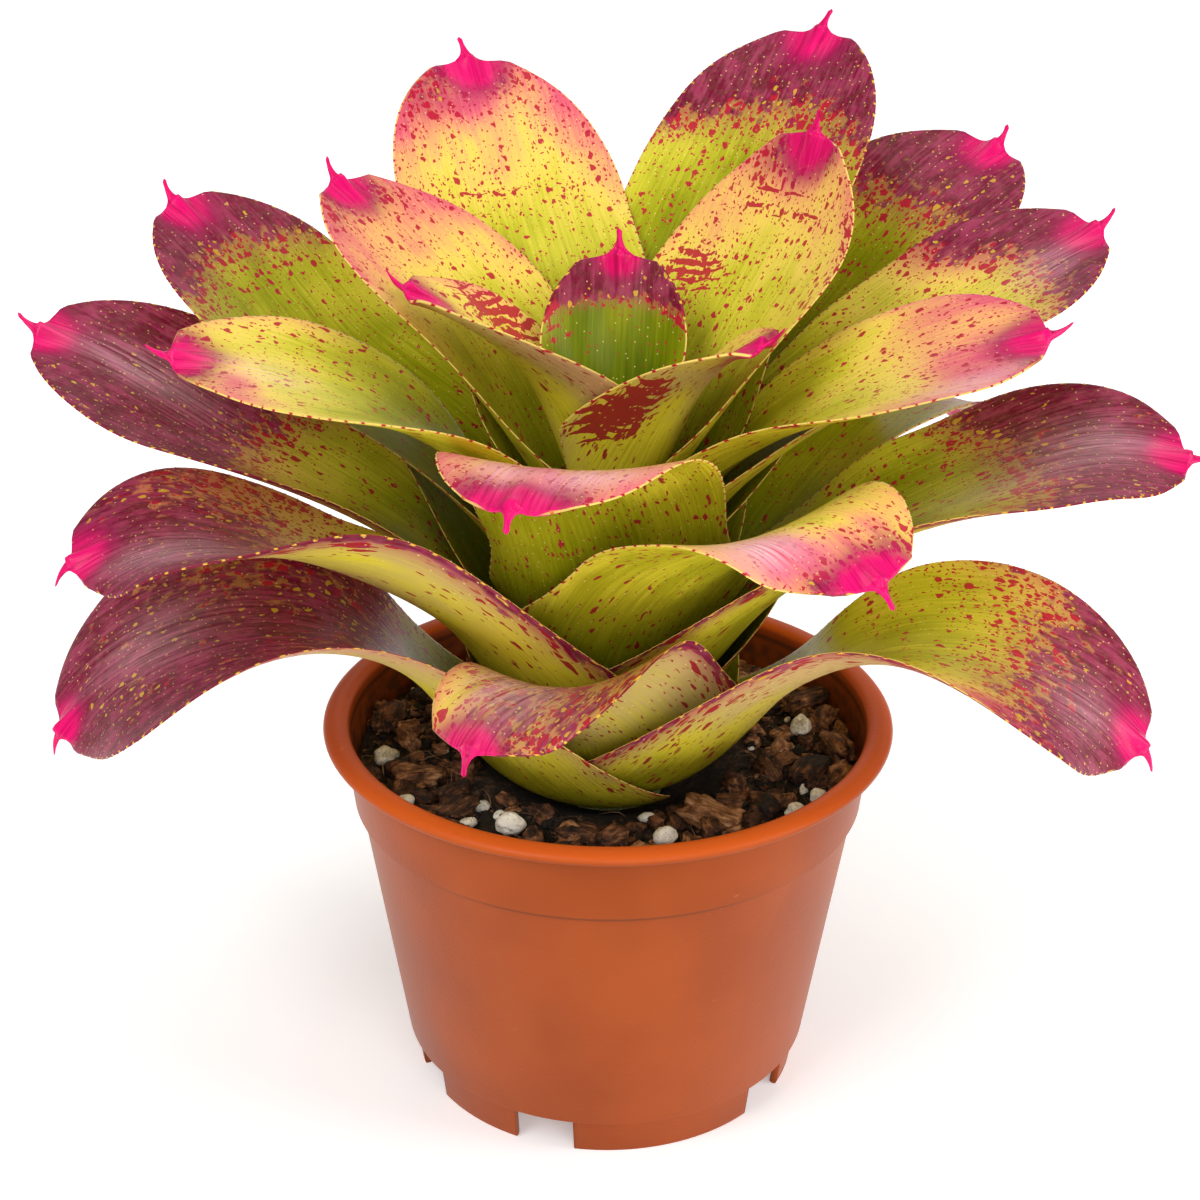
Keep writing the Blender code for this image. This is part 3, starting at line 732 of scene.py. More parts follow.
                     (BANDS, 0.78, -0.70, 0.08, 0.30, 0.70, BELOW),
                     (RIPE, 0.86, 0.10, 0.10, 0.70, 0.35, BELOW),
                     (SPOTS, 0.86, 0.10, 0.12, 0.70, 0.40, BELOW),
                     (COVER, 0.98, 0.70, 0.06, 0.40, 0.70)), (0.60, 0.35), 0.0)),
    LeafPlan(((13, 180), (21, 199), (35, 213), (50, 222)), (225, 191),
             60, 60, 83, (70, 40), (0, 0), 0, 80, 0.75, hook=2.2, lean=-1.0, paint=Paint(
                 (0.97, 1.12, 0.50), (0.52, 0.74), (0.45, 0.70), dabs(
                     (BANDS, 0.76, -0.74, 0.16, 0.50, 0.95), (COVER, 0.98, 0.40, 0.05, 0.50, 0.60),
                     (RIPE, 0.66, 0.85, 0.22, 0.30, 0.36, BELOW),
                     (SPOTS, 0.64, 0.80, 0.22, 0.35, 0.60, BELOW),
                     (COVER, 0.52, 0.95, 0.10, 0.20, 0.30, BELOW)), (0.62, 0.30), 0.0)),
    LeafPlan(((9, 180), (16, 202), (24, 221)), (85, 85),
             48, 50, 84, (70, 50), (0, 0), 0, 60, 0.75, hook=0.8, lean=0.3, blush=(6, 6), paint=Paint(
                 (0.80, 0.93, 1.05), (0.00, 0.24), (0.05, 0.50), dabs(
                     (BANDS, 0.82, -0.95, 0.07, 0.25, 0.80), (BANDS, 0.82, 0.95, 0.07, 0.25, 0.80)),
                 (0.20, 0.20), 0.0)),
)


def spline(points: tuple, shares: np.ndarray) -> tuple[np.ndarray, float]:
    """Read a smooth curve through points.

    Args:
        points: The points, in any number of dimensions.
        shares: Where to read it, as shares of its length.

    Returns:
        The points read, and the curve's length.
    """
    points = np.asarray(points, float)
    steps = np.linalg.norm(np.diff(points, axis=0), axis=1)
    knots = np.concatenate([[0], np.cumsum(steps)])
    count = len(points)
    system = np.eye(count)
    rhs = np.zeros((count, points.shape[1]))
    for i in range(1, count - 1):
        system[i, i - 1:i + 2] = steps[i - 1], 2 * (steps[i - 1] + steps[i]), steps[i]
        slope_out = (points[i + 1] - points[i]) / steps[i]
        slope_in = (points[i] - points[i - 1]) / steps[i - 1]
        rhs[i] = 6 * (slope_out - slope_in)
    bend = np.linalg.solve(system, rhs)

    def at(x: np.ndarray) -> np.ndarray:
        """Read the curve at distances along its chords."""
        i = np.clip(np.searchsorted(knots, x, side="right") - 1, 0, count - 2)
        h = steps[i][:, None]
        a = (knots[i + 1] - x)[:, None] / h
        b = (x - knots[i])[:, None] / h
        curve = ((a ** 3 - a) * bend[i] + (b ** 3 - b) * bend[i + 1]) * h * h / 6
        return a * points[i] + b * points[i + 1] + curve

    fine = np.linspace(0, knots[-1], 400)
    run = np.concatenate([[0], np.cumsum(np.linalg.norm(np.diff(at(fine), axis=0), axis=1))])
    return at(np.interp(shares * run[-1], run, fine)), float(run[-1])


def link(name: str, data: bpy.types.ID) -> bpy.types.Object:
    """Put a mesh, a light or a camera in the scene and return its object."""
    made = bpy.data.objects.new(name, data)
    bpy.context.scene.collection.objects.link(made)
    return made


def make_object(name: str, points: np.ndarray, faces: list, materials: list[bpy.types.Material],
                slots: np.ndarray | None = None) -> bpy.types.Object:
    """Make a smooth-shaded mesh object.

    Args:
        name: Its name.
        points: Its points, in metres.
        faces: The corners of each face.
        materials: Its materials.
        slots: Which of them each face has.

    Returns:
        The object, linked to the scene.
    """
    mesh = bpy.data.meshes.new(name)
    mesh.from_pydata(points.tolist(), [], faces)
    for material in materials:
        mesh.materials.append(material)
    if slots is not None:
        mesh.polygons.foreach_set("material_index", slots)
    mesh.shade_smooth()
    mesh.update()
    return link(name, mesh)


def store(piece: bpy.types.Object, name: str, values: np.ndarray) -> None:
    """Store three or four numbers at each point of a mesh.

    Args:
        piece: The object.
        name: The attribute's name.
        values: One row for each point.
    """
    kind, key = ("FLOAT_COLOR", "color") if values.shape[1] == 4 else ("FLOAT_VECTOR", "vector")
    made = piece.data.attributes.new(name, kind, "POINT")
    made.data.foreach_set(key, np.ascontiguousarray(values, np.float32).ravel())


def join_model(piece: bpy.types.Object, slot: str, *nodes: str) -> None:
    """Make a piece part of the model.

    Args:
        piece: The object.
        slot: A material slot in the record; not used.
        nodes: The solids that it stands for.
    """
    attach(piece, ROOT)
    if nodes:
        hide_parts(*nodes)
    LOG.info("%s: %d faces", piece.name, len(piece.data.polygons))


@dataclass
class Leaf:
    """A leaf with its sheath, blade, hooked point and marginal teeth, in millimetres.

    crease is how high the fold behind the point stands. point_width is half the point's width
    where it is thinnest, flare how much wider it is at its foot, and knob how much at its end.
    """

    plan: LeafPlan
    order: int
    sheath_thickness: float = 0.72
    blade_thickness: float = 1.05
    point_thickness: float = 1.35
    crease: float = 1.9
    point_width: float = 0.50
    flare: float = 3.1
    knob: float = 0.25

    def stem_point(self) -> Pair:
        """Return where it leaves the stem, as radius and height."""
        low, high = min(self.order, 15), max(self.order - 15, 0)
        return 16 - 0.3 * low - 1.0 * high, 84 + 2.3 * low + 2.0 * high

    def build(self, materials: list[bpy.types.Material]) -> bpy.types.Object:
        """Build the mesh.

        Args:
            materials: Those of the upper and the lower face.

        Returns:
            The leaf.
        """
        self._lay_out()
        points, faces, slots = self._skin()
        teeth, tooth_faces = self._teeth(len(points))
        points = np.concatenate([points, teeth])
        faces += tooth_faces
        slots = np.concatenate([slots, np.full(len(tooth_faces), LeafFace.UPPER.value)])
        piece = make_object(f"leaf_{self.order + 1:02d}_visual", points * MM, faces, materials, slots)
        self._store_paint(piece)
        return piece

    def _lay_out(self) -> None:
        """Work out the middle of the leaf's thickness as a grid of rows and columns."""
        plan = self.plan
        radius, height = self.stem_point()
        rise = radians(plan.rise)
        start = ((radius, height), (radius + RISE_RUN * cos(rise), height + RISE_RUN * sin(rise)))
        share = 1 - (1 - np.linspace(0, 1, BLADE_ROWS)) ** 1.25
        midrib, self.length = spline(start + plan.midrib, share)
        turned = (plan.heading[1] - plan.heading[0]) * ease(share, 0.1, 1.0)
        azimuth = np.radians(plan.heading[0] + turned)
        outward = np.stack([np.cos(azimuth), np.sin(azimuth), 0 * azimuth], 1)
        sideways = np.stack([-np.sin(azimuth), np.cos(azimuth), 0 * azimuth], 1)
        middle = outward * midrib[:, :1] + np.array([0, 0, 1]) * midrib[:, 1:]
        ahead = unit(np.gradient(middle, share, axis=0))
        across = unit(sideways - ahead * (sideways * ahead).sum(1)[:, None])
        up = np.cross(ahead, across)
        roll = np.radians(plan.roll[0] * ease(share, 0.25, 0.6)
                          + (plan.roll[1] - plan.roll[0]) * ease(share, 0.5, 1.0))[:, None]
        across, up = (across * np.cos(roll) + up * np.sin(roll),
                      up * np.cos(roll) - across * np.sin(roll))

        beyond = POINT_LENGTH * (np.arange(1, POINT_ROWS + 1) / POINT_ROWS) ** 0.9
        bend = (beyond / POINT_LENGTH)[:, None] ** 2
        point = (middle[-1] + ahead[-1] * beyond[:, None] + up[-1] * plan.hook * bend
                 + across[-1] * plan.lean * bend)
        repeat = ((0, POINT_ROWS), (0, 0))
        middle = np.concatenate([middle, point])
        ahead, across, up = (np.pad(a, repeat, mode="edge") for a in (ahead, across, up))
        azimuth = np.pad(azimuth, (0, POINT_ROWS), mode="edge")
        midrib = np.pad(midrib, repeat, mode="edge")
        self.share = np.concatenate([share, 1 + beyond / self.length])
        self.half = np.minimum(self._half_width(), midrib[:, 0] * radians(SHEATH_HALF_TURN))

        turn = np.linspace(-1, 1, COLUMNS) * pi / 2 * 0.97
        self.side = (np.sin(turn) / np.sin(turn[-1]))[None]
        self.off = self.half[:, None] * self.side
        grid = self._blade(middle, across, up)
        reach = midrib[:, :1]
        around = azimuth[:, None] + self.off / reach
        wrapped = np.stack([reach * np.cos(around), reach * np.sin(around),
                            midrib[:, 1:] + 0 * around], -1)
        free = ease(self.share, plan.hug * 0.45, plan.hug * 1.35)[:, None, None]
        grid = wrapped * (1 - free) + grid * free
        self.grid = grid
        self.ahead = unit(np.gradient(grid, axis=0))
        self.normal = unit(np.cross(np.gradient(grid, axis=0), np.gradient(grid, axis=1)))

    def _full_width(self) -> np.ndarray:
        """Return the width of each row before the round end."""
        plan = self.plan
        to_waist = ease(self.share, 0.10, 0.50)
        to_blade = ease(self.share, 0.36, 0.74)
        low = plan.sheath * (1 - to_waist) + plan.waist * to_waist
        return low * (1 - to_blade) + plan.width * to_blade

    def _half_width(self) -> np.ndarray:
        """Return half the width of each row, with the round end and the point's flared foot."""
        beyond = (self.share - 1) * self.length
        round_end = 0.78 * self.plan.width / self.length
        near = np.clip((self.share - (1 - round_end)) / round_end, 0, 1)
        blade = self._full_width() / 2 * np.sqrt(1 - near ** 2.1)
        point = self.point_width + self.flare * np.exp(-np.maximum(beyond, -1.8) / 1.55)
        point = point + self.knob * np.exp(-((beyond - POINT_LENGTH + 0.7) / 0.5) ** 2)
        last = np.maximum(beyond - POINT_LENGTH + 1.0, 0) / 1.01
        point = point * np.sqrt(np.clip(1 - last ** 2, 0.004, 1))
        return (blade ** 5 + point ** 5) ** 0.2

    def _blade(self, middle: np.ndarray, across: np.ndarray, up: np.ndarray) -> np.ndarray:
        """Lay the open blade out: a trough with a rippled margin and a crease towards the point."""
        plan, share, side, off = self.plan, self.share[:, None], self.side, self.off
        full = self._full_width()[:, None]
        cup = np.radians(plan.cup[0] + (plan.cup[1] - plan.cup[0]) * ease(share, 0.42, 0.78))
        trough = full / (2 * cup)
        lift = trough * (1 - np.cos(off / trough))
        lift = lift - plan.lobe * ease(share, 0.72, 1.0) * (np.abs(off) * 2 / full) ** 2
        chance = np.random.default_rng(self.order)
        open_part = ease(share, 0.45, 0.75) * ease(share, 1.0, 0.93)
        phase = chance.uniform(0, 2 * pi, 5)
        along = share * self.length
        wave = (np.sin(along / 9.5 + phase[0] + side * 1.4) * 0.45
                + np.sin(along / 5.3 + phase[1] - side * 2.0) * 0.22)
        lift = lift + open_part * (wave * np.abs(side) ** 2.5
                                   + 0.35 * np.sin(along / 13 + phase[2]) * np.cos(off / 9 + phase[3]))
        fade = np.exp(-np.abs((share - 1) * self.length) / 8.5) * (share <= 1)
        ridge = np.exp(-(off / 1.7) ** 2) - 0.75 * np.exp(-((np.abs(off) - 5.5) / 3.6) ** 2)
        lift = lift + self.crease * fade * ridge
        reach = trough * np.sin(off / trough)
        return middle[:, None] + across[:, None] * reach[..., None] + up[:, None] * lift[..., None]

    def _skin(self) -> tuple[np.ndarray, list, np.ndarray]:
        """Return the points, faces and material of each face of the closed surface."""
        thicker = (self.blade_thickness - self.sheath_thickness) * ease(self.share, 0.4, 0.7)
        thick = self.sheath_thickness + thicker
        beyond = (self.share - 1) * self.length
        thick = thick + (self.point_thickness - thick) * ease(beyond, -5.0, 0.5)
        thick = thick * (1 - 0.75 * ease(beyond, 2.5, POINT_LENGTH))
        squareness = 2 + 12 * ease(self.half, 1.5, 14)[:, None]
        rounding = np.sqrt(np.clip(1 - np.abs(self.side) ** squareness, 0, 1))
        shift = self.normal * (thick[:, None] / 2 * rounding)[..., None]
        upper, lower = self.grid + shift, self.grid - shift
        rows, columns = self.grid.shape[:2]
        count = rows * columns
        top = np.arange(count).reshape(rows, columns)
        below = top + count
        below[:, 0], below[:, -1] = top[:, 0], top[:, -1]
        over = [(top[i, j], top[i + 1, j], top[i + 1, j + 1], top[i, j + 1])
                for i in range(rows - 1) for j in range(columns - 1)]
        under = [(below[i, j], below[i, j + 1], below[i + 1, j + 1], below[i + 1, j])
                 for i in range(rows - 1) for j in range(columns - 1)]
        ends = []
        for row, flip in ((0, False), (rows - 1, True)):
            for j in range(columns - 1):
                corners = [top[row, j], top[row, j + 1], below[row, j + 1], below[row, j]]
                corners = list(dict.fromkeys(corners))  # The faces share their outermost points.
                ends.append(tuple(corners[::-1] if flip else corners))
        self.row_of = np.tile(np.repeat(np.arange(rows), columns), 2)
        self.column_of = np.tile(np.arange(columns), 2 * rows)
        points = np.concatenate([upper.reshape(-1, 3), lower.reshape(-1, 3)])
        slots = [LeafFace.UPPER.value] * len(over) + [LeafFace.LOWER.value] * (len(under) + len(ends))
        faces = [tuple(int(corner) for corner in face) for face in over + under + ends]
        return points, faces, np.array(slots)

    def _teeth(self, first: int) -> tuple[np.ndarray, list]:
        """Return the points and faces of the small forward-pointing teeth along both margins.

        Args:
            first: The number of points that the leaf already has.

        Returns:
            Their points and faces.
        """
        points, faces, self.tooth_along = [], [], []
        along = self.share * self.length
        start = np.ceil(along[-1] * TEETH_FROM / TOOTH_SPACING)
        for column, inner in ((0, 1), (-1, -2)):
            outward = unit(self.grid[:, column] - self.grid[:, inner])
            rows = [self.grid[:, column], outward, self.ahead[:, column], self.normal[:, column]]
            for step in np.arange(start, np.floor((self.length - 3) / TOOTH_SPACING) + 1):
                place = step * TOOTH_SPACING
                root, out, fore, up = (np.array([np.interp(place, along, row[:, k]) for k in range(3)])
                                       for row in rows)
                count = first + len(points)
                sunk = root - out * 0.12
                points += [sunk - fore * 0.26, sunk + up * 0.18, sunk + fore * 0.22, sunk - up * 0.18,
                           root + out * 0.30 + fore * 0.26]
                faces += [tuple(count + k for k in face)
                          for face in ((0, 1, 4), (1, 2, 4), (2, 3, 4), (3, 0, 4), (3, 2, 1, 0))]
                self.tooth_along += [place] * 5
        return np.array(points), faces

    def _store_paint(self, piece: bpy.types.Object) -> None:
        """Store each point's place on the blade and its paint."""
        teeth = len(self.tooth_along)
        tooth_share = np.array(self.tooth_along) / self.length
        share = np.concatenate([self.share[self.row_of], tooth_share])
        half = np.concatenate([self.half[self.row_of], np.full(teeth, 1.0)])
        side = np.concatenate([self.side[0, self.column_of], np.ones(teeth)])
        face_points = len(self.row_of) // 2
        faces = (LeafFace.UPPER, LeafFace.LOWER, LeafFace.UPPER)
        parts = (slice(0, face_points), slice(face_points, 2 * face_points),
                 slice(2 * face_points, None))
        painted = [self.plan.paint.layers(np.minimum(share[part], 1), side[part], face)
                   for part, face in zip(parts, faces)]
        layers = {key: np.concatenate([part[key] for part in painted]) for key in painted[0]}
        along, across = share * self.length, half * side
        shift = np.full(len(share), self.order * 31.7)
        store(piece, "blade", np.stack([across, along, shift], 1))
        store(piece, "paint", np.stack([layers[key] for key in (COVER, RIPE, SPOTS, BANDS)], 1))
        behind = np.maximum(self.length - along, 0)
        long, wide = self.plan.blush
        magenta = np.exp(-((behind / long) ** 2 + (across / wide) ** 2))
        magenta[len(self.row_of):] = 0
        margin = half * (1 - np.abs(side)) + 3 * ease(along, self.length - 1, self.length + 1)
        store(piece, "form", np.stack([margin, magenta, layers[BLOOM]], 1))


UPPER_FACE = LeafFinish(
    "leaf_upper",
    ((0.0, (0.070, 0.120, 0.001)), (0.18, (0.160, 0.215, 0.001)), (0.38, (0.340, 0.360, 0.006)),
     (0.55, (0.640, 0.600, 0.035)), (0.70, (0.900, 0.680, 0.110)), (0.83, (0.900, 0.420, 0.160)),
     (0.94, (0.820, 0.200, 0.180)), (1.0, (0.740, 0.100, 0.170))),
)
LOWER_FACE = LeafFinish(
    "leaf_lower",
    ((0.0, (0.090, 0.110, 0.001)), (0.22, (0.250, 0.255, 0.003)), (0.45, (0.480, 0.430, 0.015)),
     (0.60, (0.800, 0.690, 0.040)), (0.78, (0.600, 0.450, 0.130)), (1.0, (0.640, 0.390, 0.200))),
    spot=(0.380, 0.005, 0.026), spot_stretch=0.40, roughness=0.38, coat=0.05,
)


# The pot's shell, in metres, as its solid has it.
LIP_RADIUS = 0.0750
LIP_ROLL = (0.0034, 0.0019)
LIP_HEIGHT = 0.1023
COLLAR_TOP = (0.0696, 0.1002)
COLLAR_FOOT = (0.0675, 0.0817)
BODY_TOP_RADIUS = 0.0660
BODY_FOOT = (0.0550, 0.0108)
FOOT_TOP_RADIUS = 0.0533
FOOT_RADIUS = 0.0520
FOOT_WALL = 0.0020
WALL = 0.0018
NOTCH_AZIMUTHS = (-155, -108, -35, 12, 85, 132)
NOTCH_WIDTH = 0.0160
NOTCH_HEIGHT = 0.0103
DRAIN_RADIUS = 0.0040
DRAIN_CIRCLE = 0.0360
DRAIN_COUNT = 6


def spun(profile: list[Pair], sides: int) -> bmesh.types.BMesh:
    """Spin a profile that starts and ends on the axis.

    Args:
        profile: Its points, as (radius, height).
        sides: How many steps the turn takes.

    Returns:
        The closed shape.
    """
    shape = bmesh.new()
    points = [shape.verts.new((radius, 0, height)) for radius, height in profile]
    edges = [shape.edges.new(pair) for pair in zip(points, points[1:])]
    bmesh.ops.spin(shape, geom=points + edges, cent=(0, 0, 0), axis=(0, 0, 1), angle=2 * pi,
                   steps=sides, use_merge=True)
    bmesh.ops.remove_doubles(shape, verts=shape.verts, dist=1e-6)
    bmesh.ops.recalc_face_normals(shape, faces=shape.faces)
    return shape


def link_shape(name: str, shape: bmesh.types.BMesh, material: bpy.types.Material,
               sharp_above: float = 180) -> bpy.types.Object:
    """Turn a bmesh into a smooth-shaded object.

    Args:
        name: The object's name.
        shape: Its shape, which is freed.
        material: Its material.
        sharp_above: Edges that turn by more degrees than this stay sharp.

    Returns:
        The object, linked to the scene.
    """
    mesh = bpy.data.meshes.new(name)
    shape.to_mesh(mesh)
    shape.free()
    mesh.materials.append(material)
    mesh.shade_smooth()
    if sharp_above < 180:
        mesh.set_sharp_from_angle(angle=radians(sharp_above))
    return link(name, mesh)


@dataclass(frozen=True)
class PotFinish:
    """Satin moulded plastic, lightly scuffed and specked, darker inside above the potting mix, with
    painted light on the top of the lip and painted shade under the lip and under the collar step.
    """

    name: str = "terracotta_plastic"
    body: Colour = (0.295, 0.050, 0.004)
    light: Colour = (0.365, 0.066, 0.007)
    rim: Colour = (0.560, 0.092, 0.012)
    dust_and_shade: Colour = (0.060, 0.022, 0.009)
    scratch: Colour = (0.720, 0.300, 0.130)
    specular: float = 0.14
    relief_depth: float = 0.00005

    def make(self) -> bpy.types.Material:
        """Paint the pot and return its material."""
        sh = Shader(self.name)
        place = sh.add("TexCoord", {}, {})["Object"]
        _, _, height = sh.split(place)
        radius = sh.reach(sh.stretch(place, (1, 1, 0)))
        clouds = sh.noise(place, 26, 2)
        scuffs = (sh.noise(sh.stretch(place, (1, 1, 5)), 210, 4, 0.7).ease(0.66, 0.76)
                  * sh.noise(place, 70, 2).ease(0.45, 0.65))
        specks = sh.noise(place, 1300, 2).ease(0.72, 0.80)
        colour = sh.mix(clouds.ease(0.3, 0.7), self.body, self.light)
        # Painted light: the top of the lip is painted brighter, as if lit from above.
        colour = sh.mix(height.ease(LIP_HEIGHT - 0.0007, LIP_HEIGHT + 0.0013), colour, self.rim)
        (foot_radius, foot), (top_radius, top) = COLLAR_FOOT, COLLAR_TOP
        slope = (top_radius - foot_radius) / (top - foot)
        within_wall = radius < height * slope + (foot_radius - slope * foot - WALL / 2)
        inside = height.ease(0.1020, 0.0960) * height.ease(foot - 0.0001, foot + 0.0003) * within_wall
        # Darker inside the wall above the potting mix, patchy with noise.
        darker_inside = inside * (sh.noise(place, 260, 4).ease(0.35, 0.65) * 0.5 + 0.35)
        colour = sh.mix(darker_inside, colour, self.dust_and_shade)
        colour = sh.mix(scuffs * 0.45, colour, self.scratch)
        colour = sh.mix(specks * 0.30, colour, self.dust_and_shade)
        # Painted shade: dark lines just under the collar step and just under the lip.
        shade_under_collar = (height.ease(foot - 0.0017, foot - 0.0006)
                        * height.ease(foot + 0.0006, foot - 0.0001))
        shade_under_lip = (height.ease(top - 0.0012, top - 0.0001)
                     * height.ease(top + 0.0012, top + 0.0003))
        colour = sh.mix((shade_under_collar + shade_under_lip) * 0.70, colour, self.dust_and_shade)
        rough = clouds * 0.12 + scuffs * 0.10 + inside * 0.25 + 0.30
        return sh.finish({"Base Color": colour, "Roughness": rough,
                          "Specular IOR Level": self.specular},
                         sh.noise(place, 900, 1), self.relief_depth)


@dataclass
class Pot:
    """The nursery pot: a turned shell with notches between its feet and holes in its floor."""

    sides: int = 144
    blend: float = 0.0006
    sharp_above: float = 35

    def build(self) -> bpy.types.Object:
        """Build the shell and return it."""
        shape = spun(self._profile(), self.sides)
        shell = link_shape("pot_visual", shape, PotFinish().make(), self.sharp_above)
        cutter = link_shape("pot_openings", self._openings(), shell.data.materials[0])
        cut = shell.modifiers.new("openings", "BOOLEAN")
        cut.operation = "DIFFERENCE"
        cut.solver = "EXACT"
        cut.object = cutter
        cut_shell = shell.evaluated_get(bpy.context.evaluated_depsgraph_get())
        made = bpy.data.meshes.new_from_object(cut_shell)
        shell.modifiers.clear()
        shell.data = made
        bpy.data.objects.remove(cutter)
        join_model(shell, "terracotta_plastic", "pot")
        return shell

    def _profile(self) -> list[Pair]:
        """Return the shell's outline, with its corners rounded off."""
        under, top = BODY_FOOT[1], BODY_FOOT[1] + WALL
        corners = [
            (FOOT_TOP_RADIUS - FOOT_WALL, under), (FOOT_RADIUS - FOOT_WALL, 0), (FOOT_RADIUS, 0),
            (FOOT_TOP_RADIUS, under), BODY_FOOT, (BODY_TOP_RADIUS, COLLAR_FOOT[1]), COLLAR_FOOT,
            COLLAR_TOP,
        ]
        centre = (LIP_RADIUS - LIP_ROLL[0], LIP_HEIGHT)
        lip = [(centre[0] + LIP_ROLL[0] * cos(radians(a)), centre[1] + LIP_ROLL[1] * sin(radians(a)))
               for a in range(-84, 169, 12)]
        inner = [
            (inner_radius(COLLAR_TOP[1]), COLLAR_TOP[1] - 0.0006),
            (inner_radius(COLLAR_FOOT[1]), COLLAR_FOOT[1] + 0.0008),
            (inner_radius(COLLAR_FOOT[1] - 0.0006), COLLAR_FOOT[1] - 0.0006),
            (inner_radius(top), top + 0.0020), (inner_radius(top) - 0.0016, top),
        ]
        return [(0, under)] + self._rounded(corners) + lip + self._rounded(inner) + [(0, top)]

    def _rounded(self, corners: list[Pair]) -> list[Pair]:
        """Replace each inner corner of an outline by three points of a small curve."""
        rounded = [corners[0]]
        for before, corner, after in zip(corners, corners[1:], corners[2:]):
            here, back, fore = Vector(corner), Vector(before), Vector(after)
            reach = min(self.blend, (back - here).length * 0.3, (fore - here).length * 0.3)
            a = here + (back - here).normalized() * reach
            b = here + (fore - here).normalized() * reach
            rounded += [tuple(a), tuple((a + b + 2 * here) / 4), tuple(b)]
        return rounded + [corners[-1]]

    @staticmethod
    def _openings() -> bmesh.types.BMesh:
        """Return the notches between the feet and the holes in the floor."""
        cutter = bmesh.new()
        for azimuth in NOTCH_AZIMUTHS:
            place = (Matrix.Rotation(radians(azimuth), 4, "Z")
                     @ Matrix.Translation((FOOT_RADIUS, 0, NOTCH_HEIGHT / 2 - 0.001))
                     @ Matrix.Diagonal((0.008, NOTCH_WIDTH, NOTCH_HEIGHT + 0.002, 1)))
            bmesh.ops.create_cube(cutter, size=1, matrix=place)
        for i in range(DRAIN_COUNT):
            place = (Matrix.Rotation(2 * pi * (i + 0.5) / DRAIN_COUNT, 4, "Z")
                     @ Matrix.Translation((DRAIN_CIRCLE, 0, BODY_FOOT[1] + WALL / 2)))
            bmesh.ops.create_cone(cutter, cap_ends=True, segments=32, radius1=DRAIN_RADIUS,
                                  radius2=DRAIN_RADIUS, depth=3 * WALL, matrix=place)
        return cutter


def inner_radius(height: float) -> float:
    """Return the radius of the pot's inner wall at a height."""
    low, high = BODY_FOOT, (BODY_TOP_RADIUS, COLLAR_FOOT[1])
    if height >= COLLAR_FOOT[1]:
        low, high = COLLAR_FOOT, COLLAR_TOP
    return low[0] + (high[0] - low[0]) * (height - low[1]) / (high[1] - low[1]) - WALL


# The potting mix and what lies on it, in metres.
SOIL_HEIGHT = 0.0908
SOIL_EDGE = 0.0663
DIP_RADIUS = 0.0340
DIP = ((0.0150, 0.0818), (0.0200, 0.0836), (0.0240, 0.0858), (0.0295, 0.0889), (0.0340, 0.0908))
STEM_FOOT = 0.0600
STEM_FOOT_RADIUS = 0.0150
GAP = 0.0003
LOOSE_LIMIT = 0.0664
FIBRE_LIMIT = 0.0655


def soil_height(x: float, y: float) -> float:
    """Return the height of the potting mix at a place, in metres."""
    radius = (x * x + y * y) ** 0.5
    base = float(np.interp(radius, [p[0] for p in DIP], [p[1] for p in DIP]))
    coarse = noise.fractal(Vector((x, y, 0.3)) * 95, 0.8, 2.1, 4)
    lumps = noise.fractal(Vector((x, y, 1.7)) * 420, 0.6, 2.1, 4)
    calm = float(ease(np.array(radius), 0.026, 0.040))
    return base + calm * (coarse * 0.0011 + lumps * 0.0006)


@dataclass(frozen=True)
class EarthFinish:
    """Damp peat, bark, perlite or fibre: two to four tones that follow a broken grain.

    grain stretches the pattern along the piece. scale is its features per millimetre, pits how dark
    its small pits are, and depth the relief in metres.
    """

    name: str
    tones: Stops
    grain: Colour
    scale: float
    pits: float
    depth: float
    roughness: float

    def make(self) -> bpy.types.Material:
        """Paint the material, which reads each piece's own grain direction."""
        sh = Shader(self.name)
        place = sh.attribute("grain")["Vector"]
        fibres = sh.noise(sh.stretch(place, self.grain), self.scale, 6, 0.68)
        clouds = sh.noise(place, self.scale * 0.35, 3)
        piece = sh.noise(place, 0.03, 0)
        distance, _, _ = sh.cells(place, self.scale * 1.6)
        pitted = distance.ease(0.30, 0.10) * self.pits
        tone = (fibres - 0.5) * 1.5 + (clouds - 0.5) * 0.9 + (piece - 0.5) * 0.9 + 0.5
        colour = sh.ramp(tone, self.tones)
        colour = sh.mix(pitted, colour, (0.30, 0.27, 0.22), "MULTIPLY")
        relief = fibres * 0.8 + (1 - pitted) * 0.2
        return sh.finish({"Base Color": colour, "Roughness": self.roughness,
                          "Specular IOR Level": 0.35}, relief, self.depth)


PEAT = EarthFinish("peat", ((0.2, (0.006, 0.004, 0.003)), (0.6, (0.022, 0.013, 0.008)),
                            (0.95, (0.100, 0.052, 0.026))), (1, 1, 1), 0.7, 0.0, 0.0006, 0.85)
BARK = EarthFinish("bark", ((0.25, (0.010, 0.004, 0.002)), (0.5, (0.090, 0.032, 0.012)),
                            (0.72, (0.260, 0.105, 0.040)), (1.0, (0.560, 0.300, 0.150))),
                   (0.22, 1, 1), 0.9, 0.0, 0.0009, 0.72)
PERLITE = EarthFinish("perlite", ((0.1, (0.360, 0.300, 0.210)), (0.4, (0.680, 0.630, 0.530)),
                                  (0.9, (0.860, 0.830, 0.760))), (1, 1, 1), 0.8, 0.8, 0.0003, 0.85)
FIBRE = EarthFinish("fibre", ((0.1, (0.060, 0.028, 0.014)), (0.9, (0.300, 0.160, 0.080))),
                    (1, 1, 1), 1.2, 0.0, 0.0001, 0.8)


@dataclass(frozen=True)
class Grain:
    """A loose piece on the potting mix: its place, size in millimetres and turn about +Z."""

    azimuth: float
    radius: float
    size: tuple
    turn: float


